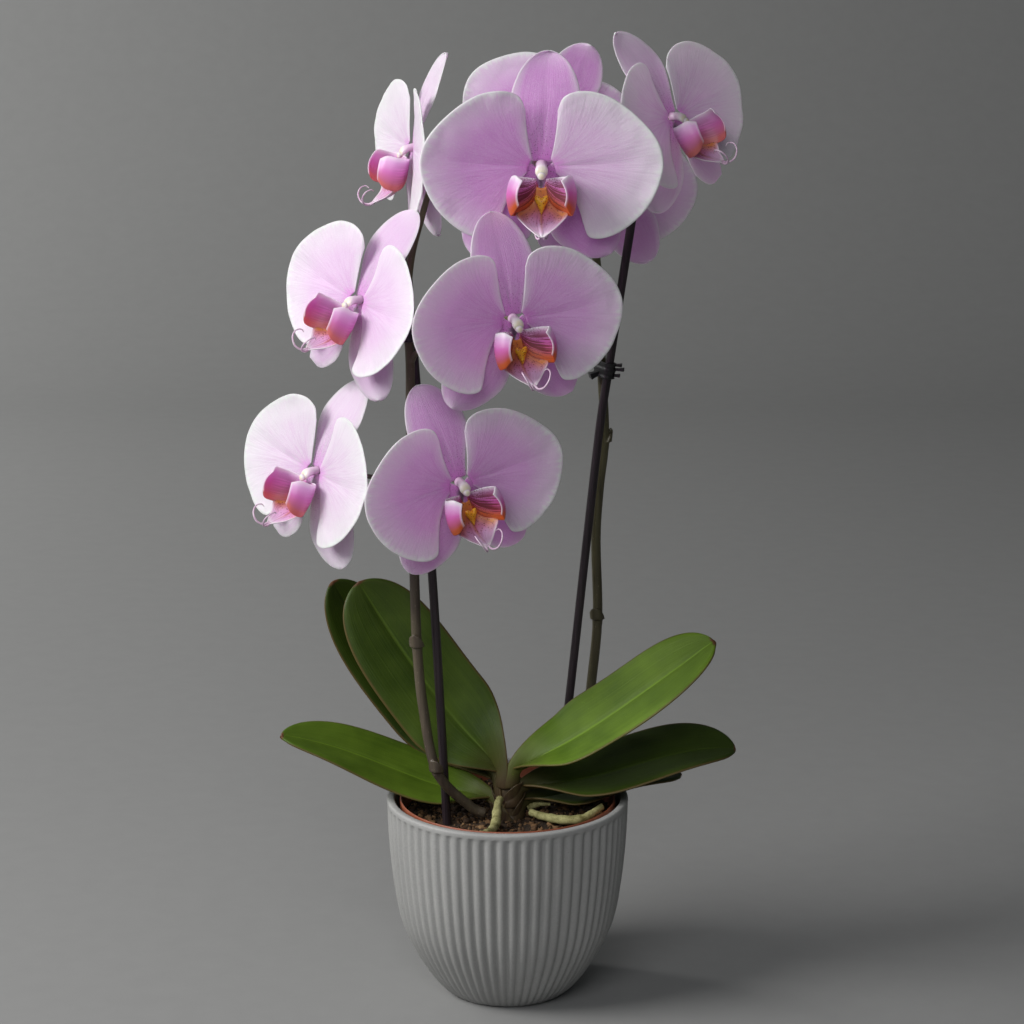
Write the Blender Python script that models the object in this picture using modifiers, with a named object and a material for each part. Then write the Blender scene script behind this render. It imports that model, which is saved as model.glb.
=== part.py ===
"""A moth orchid in a fluted cover pot.

Metres, +Z up. The origin is the centre of the cover pot's flat foot, and -Y is the plant's front.
Each flower is laid out in a frame of its own: +X to its right, +Y to its top, +Z out of its face.
"""

import math

import bmesh
import bpy
from mathutils import Matrix, Vector

MM = 0.001

# Cover pot
RIM_RADIUS = 0.067
POT_HEIGHT = 0.112
FOOT_RADIUS = 0.034
POT_WALL = 0.0045
POT_FLOOR = 0.006
FLUTES = 64
FLUTE_DEPTH = 0.0012
FLUTE_TOP = 0.1090

# Grow pot and the potting mix in it
GROW_RIM_RADIUS = 0.060
GROW_TOP = 0.1114
GROW_FOOT_RADIUS = 0.0345
GROW_FOOT = 0.0115
GROW_WALL = 0.0014
DRAIN_HOLE_RADIUS = 0.004
MIX_TOP = 0.0995
GAP = 0.0003

# Crown, stakes, flower stems
CROWN_RADIUS = 0.0072
CROWN_TOP = 0.1270
CROWN_FOOT = 0.082
STAKE_RADIUS = 0.0024
STEM_RADIUS = 0.0028
STEM_TIP_RADIUS = 0.0014
PEDICEL_RADIUS = 0.0014

# Leaves and flowers
LEAF_THICKNESS = 0.0020
PETAL_THICKNESS = 0.0009
LEAF_ROWS, LEAF_COLUMNS = 10, 4
PETAL_ROWS, PETAL_COLUMNS = 5, 6


# ---------------------------------------------------------------- helpers
def clear_scene():
    for thing in list(bpy.data.objects):
        bpy.data.objects.remove(thing)


def new_collection(name, shown=True):
    made = bpy.data.collections.new(name)
    bpy.context.scene.collection.children.link(made)
    made.hide_render = not shown
    return made


def new_material(name, colour, roughness, metallic=0.0):
    made = bpy.data.materials.new(name)
    made.use_nodes = True
    shader = made.node_tree.nodes["Principled BSDF"]
    shader.inputs["Base Color"].default_value = (*colour, 1.0)
    shader.inputs["Roughness"].default_value = roughness
    shader.inputs["Metallic"].default_value = metallic
    made.diffuse_color = (*colour, 1.0)
    return made


def add_object(name, data, finish=None, parent=None, home=None):
    made = bpy.data.objects.new(name, data)
    (home or PLANT).objects.link(made)
    if finish is not None and not data.materials:
        data.materials.append(finish)
    if parent is not None:
        made.parent = parent
    return made


def add_helper(name, data):
    """A cutter, or a piece that a union takes in."""
    made = add_object(name, data, home=HELPERS)
    made.hide_render = True
    made.display_type = "WIRE"
    return made


def settled(thing):
    """The mesh of an object after its modifiers, with loose caps welded. The object is removed."""
    bpy.context.view_layer.update()
    graph = bpy.context.evaluated_depsgraph_get()
    mesh = bpy.data.meshes.new_from_object(thing.evaluated_get(graph))
    mesh.transform(thing.matrix_world)
    shape = bmesh.new()
    shape.from_mesh(mesh)
    bmesh.ops.remove_doubles(shape, verts=shape.verts, dist=2e-5)
    bmesh.ops.recalc_face_normals(shape, faces=shape.faces)
    shape.to_mesh(mesh)
    shape.free()
    bpy.data.objects.remove(thing)
    return mesh


def boolean(thing, other, operation):
    step = thing.modifiers.new(operation.lower() + "_" + other.name, "BOOLEAN")
    step.operation = operation
    step.object = other
    step.solver = "EXACT"


def through(points, share):
    """A point at share (0 to 1) along the smooth curve through the given points."""
    points = [Vector(p) for p in points]
    place = min(max(share, 0.0), 1.0) * (len(points) - 1)
    i = min(int(place), len(points) - 2)
    u = place - i
    p1, p2 = points[i], points[i + 1]
    p0 = points[i - 1] if i else 2 * p1 - p2
    p3 = points[i + 2] if i + 2 < len(points) else 2 * p2 - p1
    ahead, back = (p2 - p0) / 2, (p3 - p1) / 2
    return (
        p1 * (2 * u**3 - 3 * u**2 + 1)
        + ahead * (u**3 - 2 * u**2 + u)
        + p2 * (3 * u**2 - 2 * u**3)
        + back * (u**3 - u**2)
    )


def bezier(points, share):
    a, b, c, d = (Vector(p) for p in points)
    r = 1 - share
    return a * r**3 + b * 3 * r * r * share + c * 3 * r * share**2 + d * share**3


def smooth(low, high, value):
    t = min(max((value - low) / (high - low), 0.0), 1.0)
    return t * t * (3 - 2 * t)


def sheet(name, place, rows, columns, thickness, across=(-1.0, 1.0), offset=0.0):
    """A curved plate: a grid whose points go where place(s, t) says, s along it and t across it."""
    shape = bmesh.new()
    bmesh.ops.create_grid(shape, x_segments=rows, y_segments=columns, size=1.0)
    for vert in shape.verts:
        s = (vert.co.x + 1) / 2
        t = across[0] + (across[1] - across[0]) * (vert.co.y + 1) / 2
        vert.co = place(s, t)
    mesh = bpy.data.meshes.new(name)
    shape.to_mesh(mesh)
    shape.free()
    made = add_helper(name, mesh)
    wall = made.modifiers.new("thickness", "SOLIDIFY")
    wall.thickness = thickness
    wall.offset = offset
    return made


def tube(name, points, radii, samples, sides=4):
    """A tapered round stem through the points, as a helper curve."""
    data = bpy.data.curves.new(name, "CURVE")
    data.dimensions = "3D"
    data.bevel_depth = 1.0
    data.bevel_resolution = sides - 2
    data.resolution_u = 1
    data.use_fill_caps = True
    spline = data.splines.new("POLY")
    spline.points.add(samples)
    for i, point in enumerate(spline.points):
        share = i / samples
        point.co = (*through(points, share), 1.0)
        point.radius = through([(r, 0, 0) for r in radii], share).x
    return add_helper(name, data)


def turned(name, profile, steps):
    """A solid turned about Z from (radius, height) points that run down its outer side."""
    mesh = bpy.data.meshes.new(name)
    shape = bmesh.new()
    verts = [shape.verts.new((radius, 0.0, height)) for radius, height in profile]
    for first, second in zip(verts, verts[1:]):
        shape.edges.new((first, second))
    shape.to_mesh(mesh)
    shape.free()
    made = add_helper(name, mesh)
    screw = made.modifiers.new("turn", "SCREW")
    screw.steps = screw.render_steps = steps
    screw.use_merge_vertices = True
    screw.merge_threshold = 1e-5
    return made


# ---------------------------------------------------------------- pots and mix
def pot_outside(height):
    """The cover pot's outer radius at a height, over the ribs."""
    points = [
        (0.0340, 0.0, 0),
        (0.0470, 0.0155, 0),
        (0.0560, 0.0320, 0),
        (0.0615, 0.0500, 0),
        (0.0653, 0.0800, 0),
        (RIM_RADIUS, POT_HEIGHT, 0),
    ]
    low, high = 0.0, 1.0
    for _ in range(30):
        middle = (low + high) / 2
        if through(points, middle).y < height:
            low = middle
        else:
            high = middle
    return through(points, low).x


def add_cover_pot():
    """A cup with a rounded lip and fluted sides: every other line down its side is set in."""
    heights = [FLUTE_TOP, 0.072, 0.045, 0.025, 0.010, 0.0015]
    lip_inside = RIM_RADIUS - POT_WALL
    inside = [(0.0, POT_FLOOR), (pot_outside(0.008) - POT_WALL - 0.003, POT_FLOOR)]
    inside += [(pot_outside(h) - POT_WALL, h + 0.002) for h in (0.017, 0.045)]
    lip = [
        (lip_inside, POT_HEIGHT - 0.002),
        (lip_inside + 0.0012, POT_HEIGHT),
        (RIM_RADIUS - 0.0012, POT_HEIGHT),
        (RIM_RADIUS, POT_HEIGHT - 0.0015),
        (RIM_RADIUS - 0.0002, FLUTE_TOP + 0.0012),
    ]
    outside = [(pot_outside(h), h) for h in heights]
    foot = [(FOOT_RADIUS - 0.0012, 0.0), (0.0, 0.0)]
    mesh = settled(turned("cover_pot_turned", inside + lip + outside + foot, 2 * FLUTES))
    half_flute = math.pi / FLUTES
    for vert in mesh.vertices:
        radius = math.hypot(vert.co.x, vert.co.y)
        step = round(math.atan2(vert.co.y, vert.co.x) / half_flute)
        on_side = 0.001 < vert.co.z < FLUTE_TOP + 0.0001
        if on_side and step % 2 and radius > pot_outside(vert.co.z) - 0.001:
            vert.co.x *= (radius - FLUTE_DEPTH) / radius
            vert.co.y *= (radius - FLUTE_DEPTH) / radius
    add_object("cover_pot", mesh, GLAZE)


def add_grow_pot():
    """The thin nursery pot, with a turned-out rim and drain holes in its floor."""
    profile = [
        (0.0, GROW_FOOT + GROW_WALL),
        (GROW_FOOT_RADIUS - GROW_WALL, GROW_FOOT + GROW_WALL),
        (GROW_RIM_RADIUS - 0.0015 - GROW_WALL, GROW_TOP - 0.008),
        (GROW_RIM_RADIUS - GROW_WALL - 0.0004, GROW_TOP),
        (GROW_RIM_RADIUS, GROW_TOP),
        (GROW_RIM_RADIUS, GROW_TOP - 0.007),
        (GROW_RIM_RADIUS - 0.0015, GROW_TOP - 0.0078),
        (GROW_FOOT_RADIUS, GROW_FOOT),
        (0.0, GROW_FOOT),
    ]
    pot = add_object("grow_pot", settled(turned("grow_pot_turned", profile, 48)), TERRACOTTA)
    for number in range(5):
        bpy.ops.mesh.primitive_cylinder_add(vertices=10, radius=DRAIN_HOLE_RADIUS, depth=0.01)
        drill = bpy.context.object
        out = 0.020 if number else 0.0
        turn = number * math.pi / 2
        drill.location = (out * math.cos(turn), out * math.sin(turn), GROW_FOOT)
        drill.name = f"drain_drill_{number}"
        drill.hide_render = True
        drill.display_type = "WIRE"
        for home in drill.users_collection:
            home.objects.unlink(drill)
        HELPERS.objects.link(drill)
        boolean(pot, drill, "DIFFERENCE")


def add_potting_mix(buried):
    """Bark and coir filling the grow pot, with an uneven top and room for what is pushed into it."""
    side = GROW_FOOT_RADIUS - GROW_WALL - GAP - 0.0008
    top = GROW_RIM_RADIUS - 0.0015 - GROW_WALL - GAP - 0.0020
    profile = [(0.0, MIX_TOP), (0.016, MIX_TOP), (0.032, MIX_TOP), (0.046, MIX_TOP)]
    profile += [(top, MIX_TOP - 0.001), (side, GROW_FOOT + GROW_WALL + GAP)]
    profile += [(0.0, GROW_FOOT + GROW_WALL + GAP)]
    mesh = settled(turned("mix_turned", profile, 28))
    for vert in mesh.vertices:
        if vert.co.z > MIX_TOP - 0.0005:
            bump = math.sin(150 * vert.co.x + 1) * math.cos(130 * vert.co.y) * 0.0009
            vert.co.z += bump
    mix = add_object("potting_mix", mesh, BARK_MIX)
    for thing in buried:
        boolean(mix, thing, "DIFFERENCE")


# ---------------------------------------------------------------- crown, roots, leaves
def add_crown():
    """The short upright stem that bears the leaves, set into the mix."""
    def profile(grow):
        return [
            (0.0, CROWN_TOP + grow),
            (0.0026 + grow, CROWN_TOP - 0.0006 + grow),
            (0.0046 + grow, CROWN_TOP - 0.0040),
            (CROWN_RADIUS - 0.0004 + grow, 0.117),
            (CROWN_RADIUS + 0.0010 + grow, 0.104),
            (CROWN_RADIUS - 0.0010 + grow, 0.092),
            (0.0035 + grow, CROWN_FOOT - grow),
            (0.0, CROWN_FOOT - grow),
        ]
    add_object("crown", settled(turned("crown_turned", profile(0.0), 14)), CROWN_SKIN)
    return add_helper("crown_socket", settled(turned("socket_turned", profile(GAP), 14)))


ROOTS = {
    # name: route, radius at its start, middle and tip
    "root_front": (
        [(-0.004, -0.0092, 0.1130), (-0.0055, -0.0155, 0.1110), (-0.0065, -0.026, 0.1045),
         (-0.0095, -0.038, 0.1040), (-0.0150, -0.050, 0.1065)],
        (0.0020, 0.0027, 0.0019),
    ),
    "root_right": (
        [(0.0125, -0.0060, 0.1040), (0.0200, -0.0120, 0.1035), (0.0310, -0.0190, 0.1040),
         (0.0420, -0.0200, 0.1055), (0.0525, -0.0120, 0.1095)],
        (0.0019, 0.0026, 0.0019),
    ),
    "root_back": (
        [(0.0110, 0.0030, 0.1035), (0.0150, 0.0033, 0.1048), (0.0190, 0.0028, 0.1058),
         (0.0240, 0.0010, 0.1062)],
        (0.0018, 0.0017, 0.0009),
    ),
}


def add_roots():
    for name, (route, radii) in ROOTS.items():
        add_object(name, settled(tube(name + "_tube", route, radii, 9, 4)), ROOT_SKIN)


LEAVES = {
    # name: curve of its midrib, half width, roll about the midrib in degrees, fold of its halves, bluntness of its tip
    "leaf_left_low": (
        [(-0.0098, 0.004, 0.1120), (-0.040, 0.008, 0.1060), (-0.082, 0.006, 0.1400), (-0.1245, -0.004, 0.1470)],
        0.0210, -25, 0.20, 2.0,
    ),
    "leaf_left_tall": (
        [(-0.0040, 0.004, 0.1295), (-0.022, 0.009, 0.1400), (-0.056, 0.020, 0.1820), (-0.0825, 0.027, 0.2265)],
        0.0265, -60, 0.18, 4.0,
    ),
    "leaf_left_back": (
        [(-0.0095, 0.009, 0.1225), (-0.036, 0.036, 0.1370), (-0.071, 0.042, 0.1740), (-0.0980, 0.040, 0.2235)],
        0.0220, -56, 0.16, 4.0,
    ),
    "leaf_right_high": (
        [(0.0045, -0.003, 0.1300), (0.036, -0.006, 0.1400), (0.072, -0.010, 0.1730), (0.1130, -0.006, 0.2015)],
        0.0245, 27, 0.22, 3.6,
    ),
    "leaf_right_middle": (
        [(0.0100, 0.001, 0.1190), (0.046, 0.002, 0.1120), (0.088, 0.004, 0.1410), (0.1260, 0.004, 0.1370)],
        0.0245, 18, 0.22, 2.6,
    ),
    "leaf_right_low": (
        [(0.0100, 0.005, 0.1090), (0.036, 0.012, 0.1030), (0.066, 0.018, 0.1230), (0.0970, 0.020, 0.1170)],
        0.0210, 10, 0.20, 2.0,
    ),
}


def leaf_place(curve, half_width, roll, fold, blunt):
    """Where a leaf's surface is at s along its midrib and t across it: an arching, folded strap."""
    def place(s, t):
        s = 0.004 + 0.992 * s
        middle = bezier(curve, s)
        along = (bezier(curve, min(s + 0.01, 1)) - bezier(curve, max(s - 0.01, 0))).normalized()
        side = Matrix.Rotation(math.radians(roll), 3, along) @ along.cross((0, 0, 1)).normalized()
        up = side.cross(along)
        base = 0.26 + 0.74 * smooth(0.0, 0.50, s)
        tip = math.sqrt(1 - max(2 * s - 1, 0.0) ** blunt)
        width = half_width * max(base * tip, 0.07)
        rise = fold + 0.45 * (1 - smooth(0.0, 0.30, s))
        return middle + side * (t * width) + up * (rise * width * abs(t) ** 1.4)
    return place


def add_leaves():
    for name, shape in LEAVES.items():
        plate = sheet(name + "_plate", leaf_place(*shape), LEAF_ROWS, LEAF_COLUMNS, LEAF_THICKNESS)
        add_object(name, settled(plate), LEAF_GREEN)


# ---------------------------------------------------------------- stakes, stems, clips
STAKE_LEFT = [(-0.0291, -0.0112, 0.030), (-0.0334, -0.0112, 0.100), (-0.0408, -0.0120, 0.243),
              (-0.0491, -0.0120, 0.354), (-0.0540, -0.0120, 0.425)]
STAKE_RIGHT = [(0.0205, 0.0260, 0.045), (0.0282, 0.0400, 0.100), (0.0345, 0.0400, 0.152),
               (0.0496, 0.0400, 0.299), (0.0556, 0.0400, 0.344), (0.0668, 0.0400, 0.421),
               (0.0705, 0.0400, 0.445)]
STEM_LEFT = [
    (-0.0128, -0.0110, 0.1050), (-0.0210, -0.0125, 0.1100), (-0.0385, -0.0200, 0.1320), (-0.0460, -0.0185, 0.1690),
    (-0.0490, -0.0180, 0.2030), (-0.0500, -0.0180, 0.2363), (-0.0510, -0.0185, 0.2900), (-0.0515, -0.0190, 0.3300),
    (-0.0515, -0.0185, 0.3600), (-0.0530, -0.0180, 0.3880), (-0.0505, -0.0195, 0.4150), (-0.0437, -0.0240, 0.4400),
    (-0.0365, -0.0280, 0.4650),
]
STEM_RIGHT = [(0.0090, 0.0120, 0.1065), (0.0260, 0.0260, 0.1090), (0.0430, 0.0375, 0.1215),
              (0.0472, 0.0470, 0.1590), (0.0508, 0.0475, 0.2004), (0.0496, 0.0470, 0.2468),
              (0.0512, 0.0470, 0.2760), (0.0540, 0.0472, 0.3050), (0.0521, 0.0468, 0.3440),
              (0.0504, 0.0430, 0.3780), (0.0485, 0.0300, 0.4050), (0.0450, 0.0120, 0.4300),
              (0.0400, 0.0020, 0.4600), (0.0360, -0.0020, 0.4900)]

# name: place, turn, tilt, roll in degrees, size, and the share along its stem where its stalk starts
FLOWERS = {
    "flower_1": ((0.0175, -0.0500, 0.4665), 0, 3, 0, 1.00, "right", 0.86),
    "flower_2": ((0.0028, -0.0780, 0.3920), 22, 3, 4, 0.93, "left", 0.667),
    "flower_3": ((-0.0248, -0.0750, 0.3065), 25, 3, 11, 0.91, "left", 0.55),
    "flower_4": ((-0.0492, 0.0074, 0.4697), -74, 5, -3, 0.88, "left", 0.97),
    "flower_5": ((-0.0765, -0.0396, 0.3953), -50, 18, -12, 0.92, "left", 0.79),
    "flower_6": ((-0.1010, -0.0300, 0.3025), -50, 15, -9, 0.92, "left", 0.50),
    "flower_7": ((0.0870, 0.0100, 0.4855), 49, 19, 13, 0.90, "right", 0.93),
    "flower_8": ((0.0540, 0.0680, 0.4437), 180, 0, 8, 0.84, "right", 0.80),
    "flower_9": ((0.0245, 0.0410, 0.4785), 178, 2, 24, 0.84, "right", 0.97),
}


def flower_matrix(place, turn, tilt, roll, size):
    """Turned to the right, tilted up and rolled anticlockwise, from a flower that faces -Y."""
    turned_to = Matrix.Rotation(math.radians(turn), 4, "Z") @ Matrix.Rotation(math.radians(90 - tilt), 4, "X")
    rolled = turned_to @ Matrix.Rotation(math.radians(roll), 4, "Z")
    return Matrix.Translation(place) @ rolled @ Matrix.Scale(size, 4)


def add_stakes():
    """Two stakes pushed into the mix. Returns the holes that they need."""
    holes = []
    for name, route in (("stake_left", STAKE_LEFT), ("stake_right", STAKE_RIGHT)):
        samples = 3 * (len(route) - 1)
        add_object(name, settled(tube(name + "_tube", route, [STAKE_RADIUS] * 2, samples, 4)), STAKE_SKIN)
        deep = [through(route, 0) - Vector((0, 0, 0.001)), *route[1:3]]
        holes.append(add_helper(name + "_hole", settled(
            tube(name + "_hole_tube", deep, [STAKE_RADIUS + 2.5 * GAP] * 2, 4, 4))))
    return holes


def stalk_route(start, flower):
    """A flower's stalk: out of the stem, round, and into the back of the flower."""
    matrix = flower_matrix(*flower)
    face = (matrix.to_3x3() @ Vector((0, 0, 1))).normalized()
    end = matrix @ Vector((0, 0, -0.0016))
    reach = (end - start).length
    out = (end - start).normalized() * 0.45 + Vector((0, 0, 0.30))
    hub = (start + out * reach * 0.42, end - face * reach * 0.40)
    return [bezier([start, *hub, end], i / 4) for i in range(5)]


def add_flower_stems():
    for name, route in (("left", STEM_LEFT), ("right", STEM_RIGHT)):
        samples = 2 * (len(route) - 1)
        radii = (STEM_RADIUS, STEM_RADIUS, STEM_RADIUS * 0.85, STEM_TIP_RADIUS)
        stem = add_object("flower_stem_" + name, settled(tube("stem_tube", route, radii, samples, 4)), STEM_SKIN)
        for flower, (*pose, owner, share) in FLOWERS.items():
            if owner != name:
                continue
            stalk = tube("stalk_tube", stalk_route(through(route, share), pose), [PEDICEL_RADIUS] * 2, 6, 3)
            boolean(stem, add_helper(flower + "_stalk", settled(stalk)), "UNION")


def add_clip(name, stake, stem, height):
    """A stem clip: one moulded strip round the stake and the stem, with two finger tabs."""
    def at(route):
        low, high = 0.0, 1.0
        for _ in range(30):
            middle = (low + high) / 2
            low, high = (middle, high) if through(route, middle).z < height else (low, middle)
        return through(route, low), (through(route, low + 0.01) - through(route, low - 0.01)).normalized()

    stake_at, along = at(stake)
    stem_at, _ = at(stem)
    across = (stem_at - stake_at) - along * (stem_at - stake_at).dot(along)
    spread = across.length
    across.normalize()
    side = along.cross(across)
    outline = []
    for i in range(13):
        angle = math.radians(-90 + 15 * i)
        outline.append((spread + 0.0046 * math.cos(angle), 0.0046 * math.sin(angle)))
    outline += [(-0.001, 0.0042), (-0.0085, 0.0066), (-0.0092, 0.0056), (-0.0035, 0.0016)]
    outline += [(x, -y) for x, y in reversed(outline[-4:])]
    data = bpy.data.curves.new(name + "_outline", "CURVE")
    data.dimensions = "2D"
    data.fill_mode = "BOTH"
    data.extrude = 0.0038
    data.resolution_u = 1
    hole = [(math.cos(math.radians(30 * i)), math.sin(math.radians(30 * i))) for i in range(12)]
    stake_hole = [(0.00295 * x, 0.00295 * y) for x, y in hole]
    stem_hole = [(spread + 0.0038 * x, 0.0038 * y) for x, y in hole]
    for ring in (outline, stake_hole, stem_hole):
        spline = data.splines.new("POLY")
        spline.points.add(len(ring) - 1)
        for point, (x, y) in zip(spline.points, ring):
            point.co = (x, y, 0, 1)
        spline.use_cyclic_u = True
    made = add_helper(name + "_strip", data)
    frame = Matrix((across, side, along)).transposed().to_4x4()
    made.matrix_world = Matrix.Translation(stake_at) @ frame
    add_object(name, settled(made), CLIP_PLASTIC)


# ---------------------------------------------------------------- flowers
SEPAL_TURNS = (90, 231.5, 308.5)
SEPAL_EDGE = [(9.5, -6.2, 0), (24, -14, 0), (40, -17.5, 0), (52, -11, 0), (58, 0, 0),
              (52, 11, 0), (40, 17.5, 0), (24, 14, 0), (9.5, 6.2, 0)]
SEPAL_NOTCHES = (160.8, 270, 379.2)
PETAL_CLAW = [(7.0, -3.0, 0), (5.6, 0.0, 0), (4.6, 3.0, 0)]
PETAL_MIDDLE = [(17, -12, 0), (26, -9, 0), (33, 1, 0), (22, 13, 0), (7.8, 15, 0)]
PETAL_EDGE = [(21.4, -29, 0), (24.5, -36, 0), (33, -36.3, 0), (44, -30.8, 0), (55, -19.5, 0), (61.6, -3, 0),
              (60, 11, 0), (50, 24, 0), (35, 35, 0), (21, 38.2, 0), (11.4, 35.2, 0), (8.2, 28, 0)]


def petal_place(hand):
    """A petal fans out of a narrow claw: each vein bends from the claw to a point on the edge."""
    def place(s, t):
        share = (t + 1) / 2
        claw, edge = through(PETAL_CLAW, share), through(PETAL_EDGE, share)
        bend = through(PETAL_MIDDLE, share)
        s = 0.02 + 0.98 * s
        flat = claw * (1 - s) ** 2 + bend * 2 * s * (1 - s) + edge * s**2
        reach = math.hypot(flat.x, flat.y) / 62
        lift = 1.6 + 5.6 * reach + 2.6 * reach**2 + 1.2 * math.sin(3 * t) * s**2 - 1.2 * abs(t) ** 3 * s
        return Vector((hand * flat.x, flat.y, lift)) * MM
    return place


def sepal_mesh():
    """The three sepals: a spun disc whose rim is drawn out into three lobes that bend back."""
    rings, steps = 2, 30
    shape = bmesh.new()
    verts = [shape.verts.new((i / rings, 0, 0)) for i in range(rings + 1)]
    edges = [shape.edges.new(pair) for pair in zip(verts, verts[1:])]
    bmesh.ops.spin(shape, geom=verts + edges, cent=(0, 0, 0), axis=(0, 0, 1), angle=math.tau, steps=steps)
    bmesh.ops.remove_doubles(shape, verts=shape.verts, dist=1e-4)
    for vert in shape.verts:
        out = math.hypot(vert.co.x, vert.co.y)
        lobe, step = divmod(round(math.atan2(vert.co.y, vert.co.x) / math.tau * steps) % steps, 10)
        if step == 9:
            edge, turn = Vector((6.5, 0, 0)), SEPAL_NOTCHES[lobe]
        else:
            edge, turn = Vector(SEPAL_EDGE[step]), SEPAL_TURNS[lobe]
        flat = Matrix.Rotation(math.radians(turn), 3, "Z") @ edge * out
        bend = (12.0 * flat.length + 3.0 * flat.y) * flat.length / 58**2
        vert.co = (flat - Vector((0, 0, bend))) * MM
    mesh = bpy.data.meshes.new("sepals")
    shape.to_mesh(mesh)
    shape.free()
    return mesh


def sepals_with_column():
    plate = add_helper("sepal_plate", sepal_mesh())
    wall = plate.modifiers.new("thickness", "SOLIDIFY")
    wall.thickness = PETAL_THICKNESS
    wall.offset = 0
    plate = add_helper("sepal_solid", settled(plate))
    ball = bmesh.new()
    bmesh.ops.create_uvsphere(ball, u_segments=8, v_segments=6, radius=1.0)
    for vert in ball.verts:
        vert.co = Vector((3.1 * vert.co.x, 3.3 * vert.co.y - 0.35 * (vert.co.z + 1) * 6, 6.2 * vert.co.z + 5.0)) * MM
    column = bpy.data.meshes.new("column")
    ball.to_mesh(column)
    ball.free()
    boolean(plate, add_helper("column_ball", column), "UNION")
    return settled(plate)


def lip_mesh():
    """The lip: a keeled middle lobe with two corners, and two side lobes that stand round the column."""
    def middle_lobe(s, t):
        rail = through([(0, -7, 3), (0, -17.5, 5), (0, -24, 11), (0, -29, 18), (0, -34, 24)], s)
        half = through([(2.6, 0, 0), (4.5, 0, 0), (13.0, 0, 0), (8.0, 0, 0), (1.6, 0, 0)], s).x
        return Vector((half * t, rail.y + 0.22 * half * abs(t) * 2, rail.z)) * MM

    def side_lobe(hand):
        low = [(1.4, -7.6, 3.2), (7, -15.5, 7), (13, -19.5, 14), (14, -16, 21.5)]
        high = [(2.0, -5.4, 3.4), (9, -4.0, 7.5), (14, -2.0, 14), (12.5, -4.5, 21.5)]

        def place(s, t):
            at = through(low, s).lerp(through(high, s), t)
            bulge = 2.4 * 4 * t * (1 - t) * smooth(0, 0.5, s)
            return Vector((hand * (at.x + bulge), at.y, at.z)) * MM
        return place

    middle = add_helper("lip_middle", settled(sheet("lip_plate", middle_lobe, 6, 4, PETAL_THICKNESS)))
    for hand in (-1, 1):
        lobe = sheet("lobe_plate", side_lobe(hand), 4, 3, PETAL_THICKNESS, across=(0.0, 1.0))
        boolean(middle, add_helper(f"lip_side_{hand}", settled(lobe)), "UNION")
    return settled(middle)


def add_flowers():
    shapes = {
        "sepals": (sepals_with_column(), PETAL_PINK),
        "petal_left": (settled(sheet("petal_plate", petal_place(-1), PETAL_ROWS, PETAL_COLUMNS, PETAL_THICKNESS)), PETAL_PINK),
        "petal_right": (settled(sheet("petal_plate", petal_place(1), PETAL_ROWS, PETAL_COLUMNS, PETAL_THICKNESS)), PETAL_PINK),
        "lip": (lip_mesh(), LIP_MAGENTA),
    }
    for name, (*pose, _, _) in FLOWERS.items():
        hub = bpy.data.objects.new(name, None)
        PLANT.objects.link(hub)
        hub.matrix_world = flower_matrix(*pose)
        for part, (mesh, finish) in shapes.items():
            add_object(f"{name}_{part}", mesh, finish, parent=hub)


# ---------------------------------------------------------------- the object
clear_scene()
PLANT = new_collection("potted_orchid")
HELPERS = new_collection("helpers", shown=False)
GLAZE = new_material("pot_ceramic", (0.42, 0.42, 0.41), 0.62)
TERRACOTTA = new_material("grow_pot_plastic", (0.45, 0.12, 0.06), 0.5)
BARK_MIX = new_material("bark_mix", (0.07, 0.035, 0.018), 0.95)
CROWN_SKIN = new_material("crown_skin", (0.10, 0.09, 0.03), 0.6)
ROOT_SKIN = new_material("root_skin", (0.42, 0.44, 0.24), 0.8)
LEAF_GREEN = new_material("leaf_green", (0.06, 0.16, 0.02), 0.35)
STAKE_SKIN = new_material("stake_skin", (0.03, 0.022, 0.025), 0.5)
STEM_SKIN = new_material("stem_skin", (0.10, 0.07, 0.045), 0.5)
CLIP_PLASTIC = new_material("clip_plastic", (0.012, 0.012, 0.012), 0.4)
PETAL_PINK = new_material("petal_pink", (0.62, 0.36, 0.62), 0.5)
LIP_MAGENTA = new_material("lip_magenta", (0.45, 0.09, 0.22), 0.45)

add_cover_pot()
add_grow_pot()
crown_socket = add_crown()
add_roots()
add_leaves()
stake_holes = add_stakes()
add_potting_mix([crown_socket, *stake_holes])
add_flower_stems()
add_clip("clip_left", STAKE_LEFT, STEM_LEFT, 0.375)
add_clip("clip_right", STAKE_RIGHT, STEM_RIGHT, 0.3445)
add_flowers()
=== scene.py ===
"""A moth orchid in a ribbed cover pot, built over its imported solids. Metres, +Z up, -Y is the front."""

import math
import random

import bpy
from bpy.props import FloatProperty, FloatVectorProperty, IntProperty, PointerProperty
from mathutils import Matrix, Vector, noise


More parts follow.
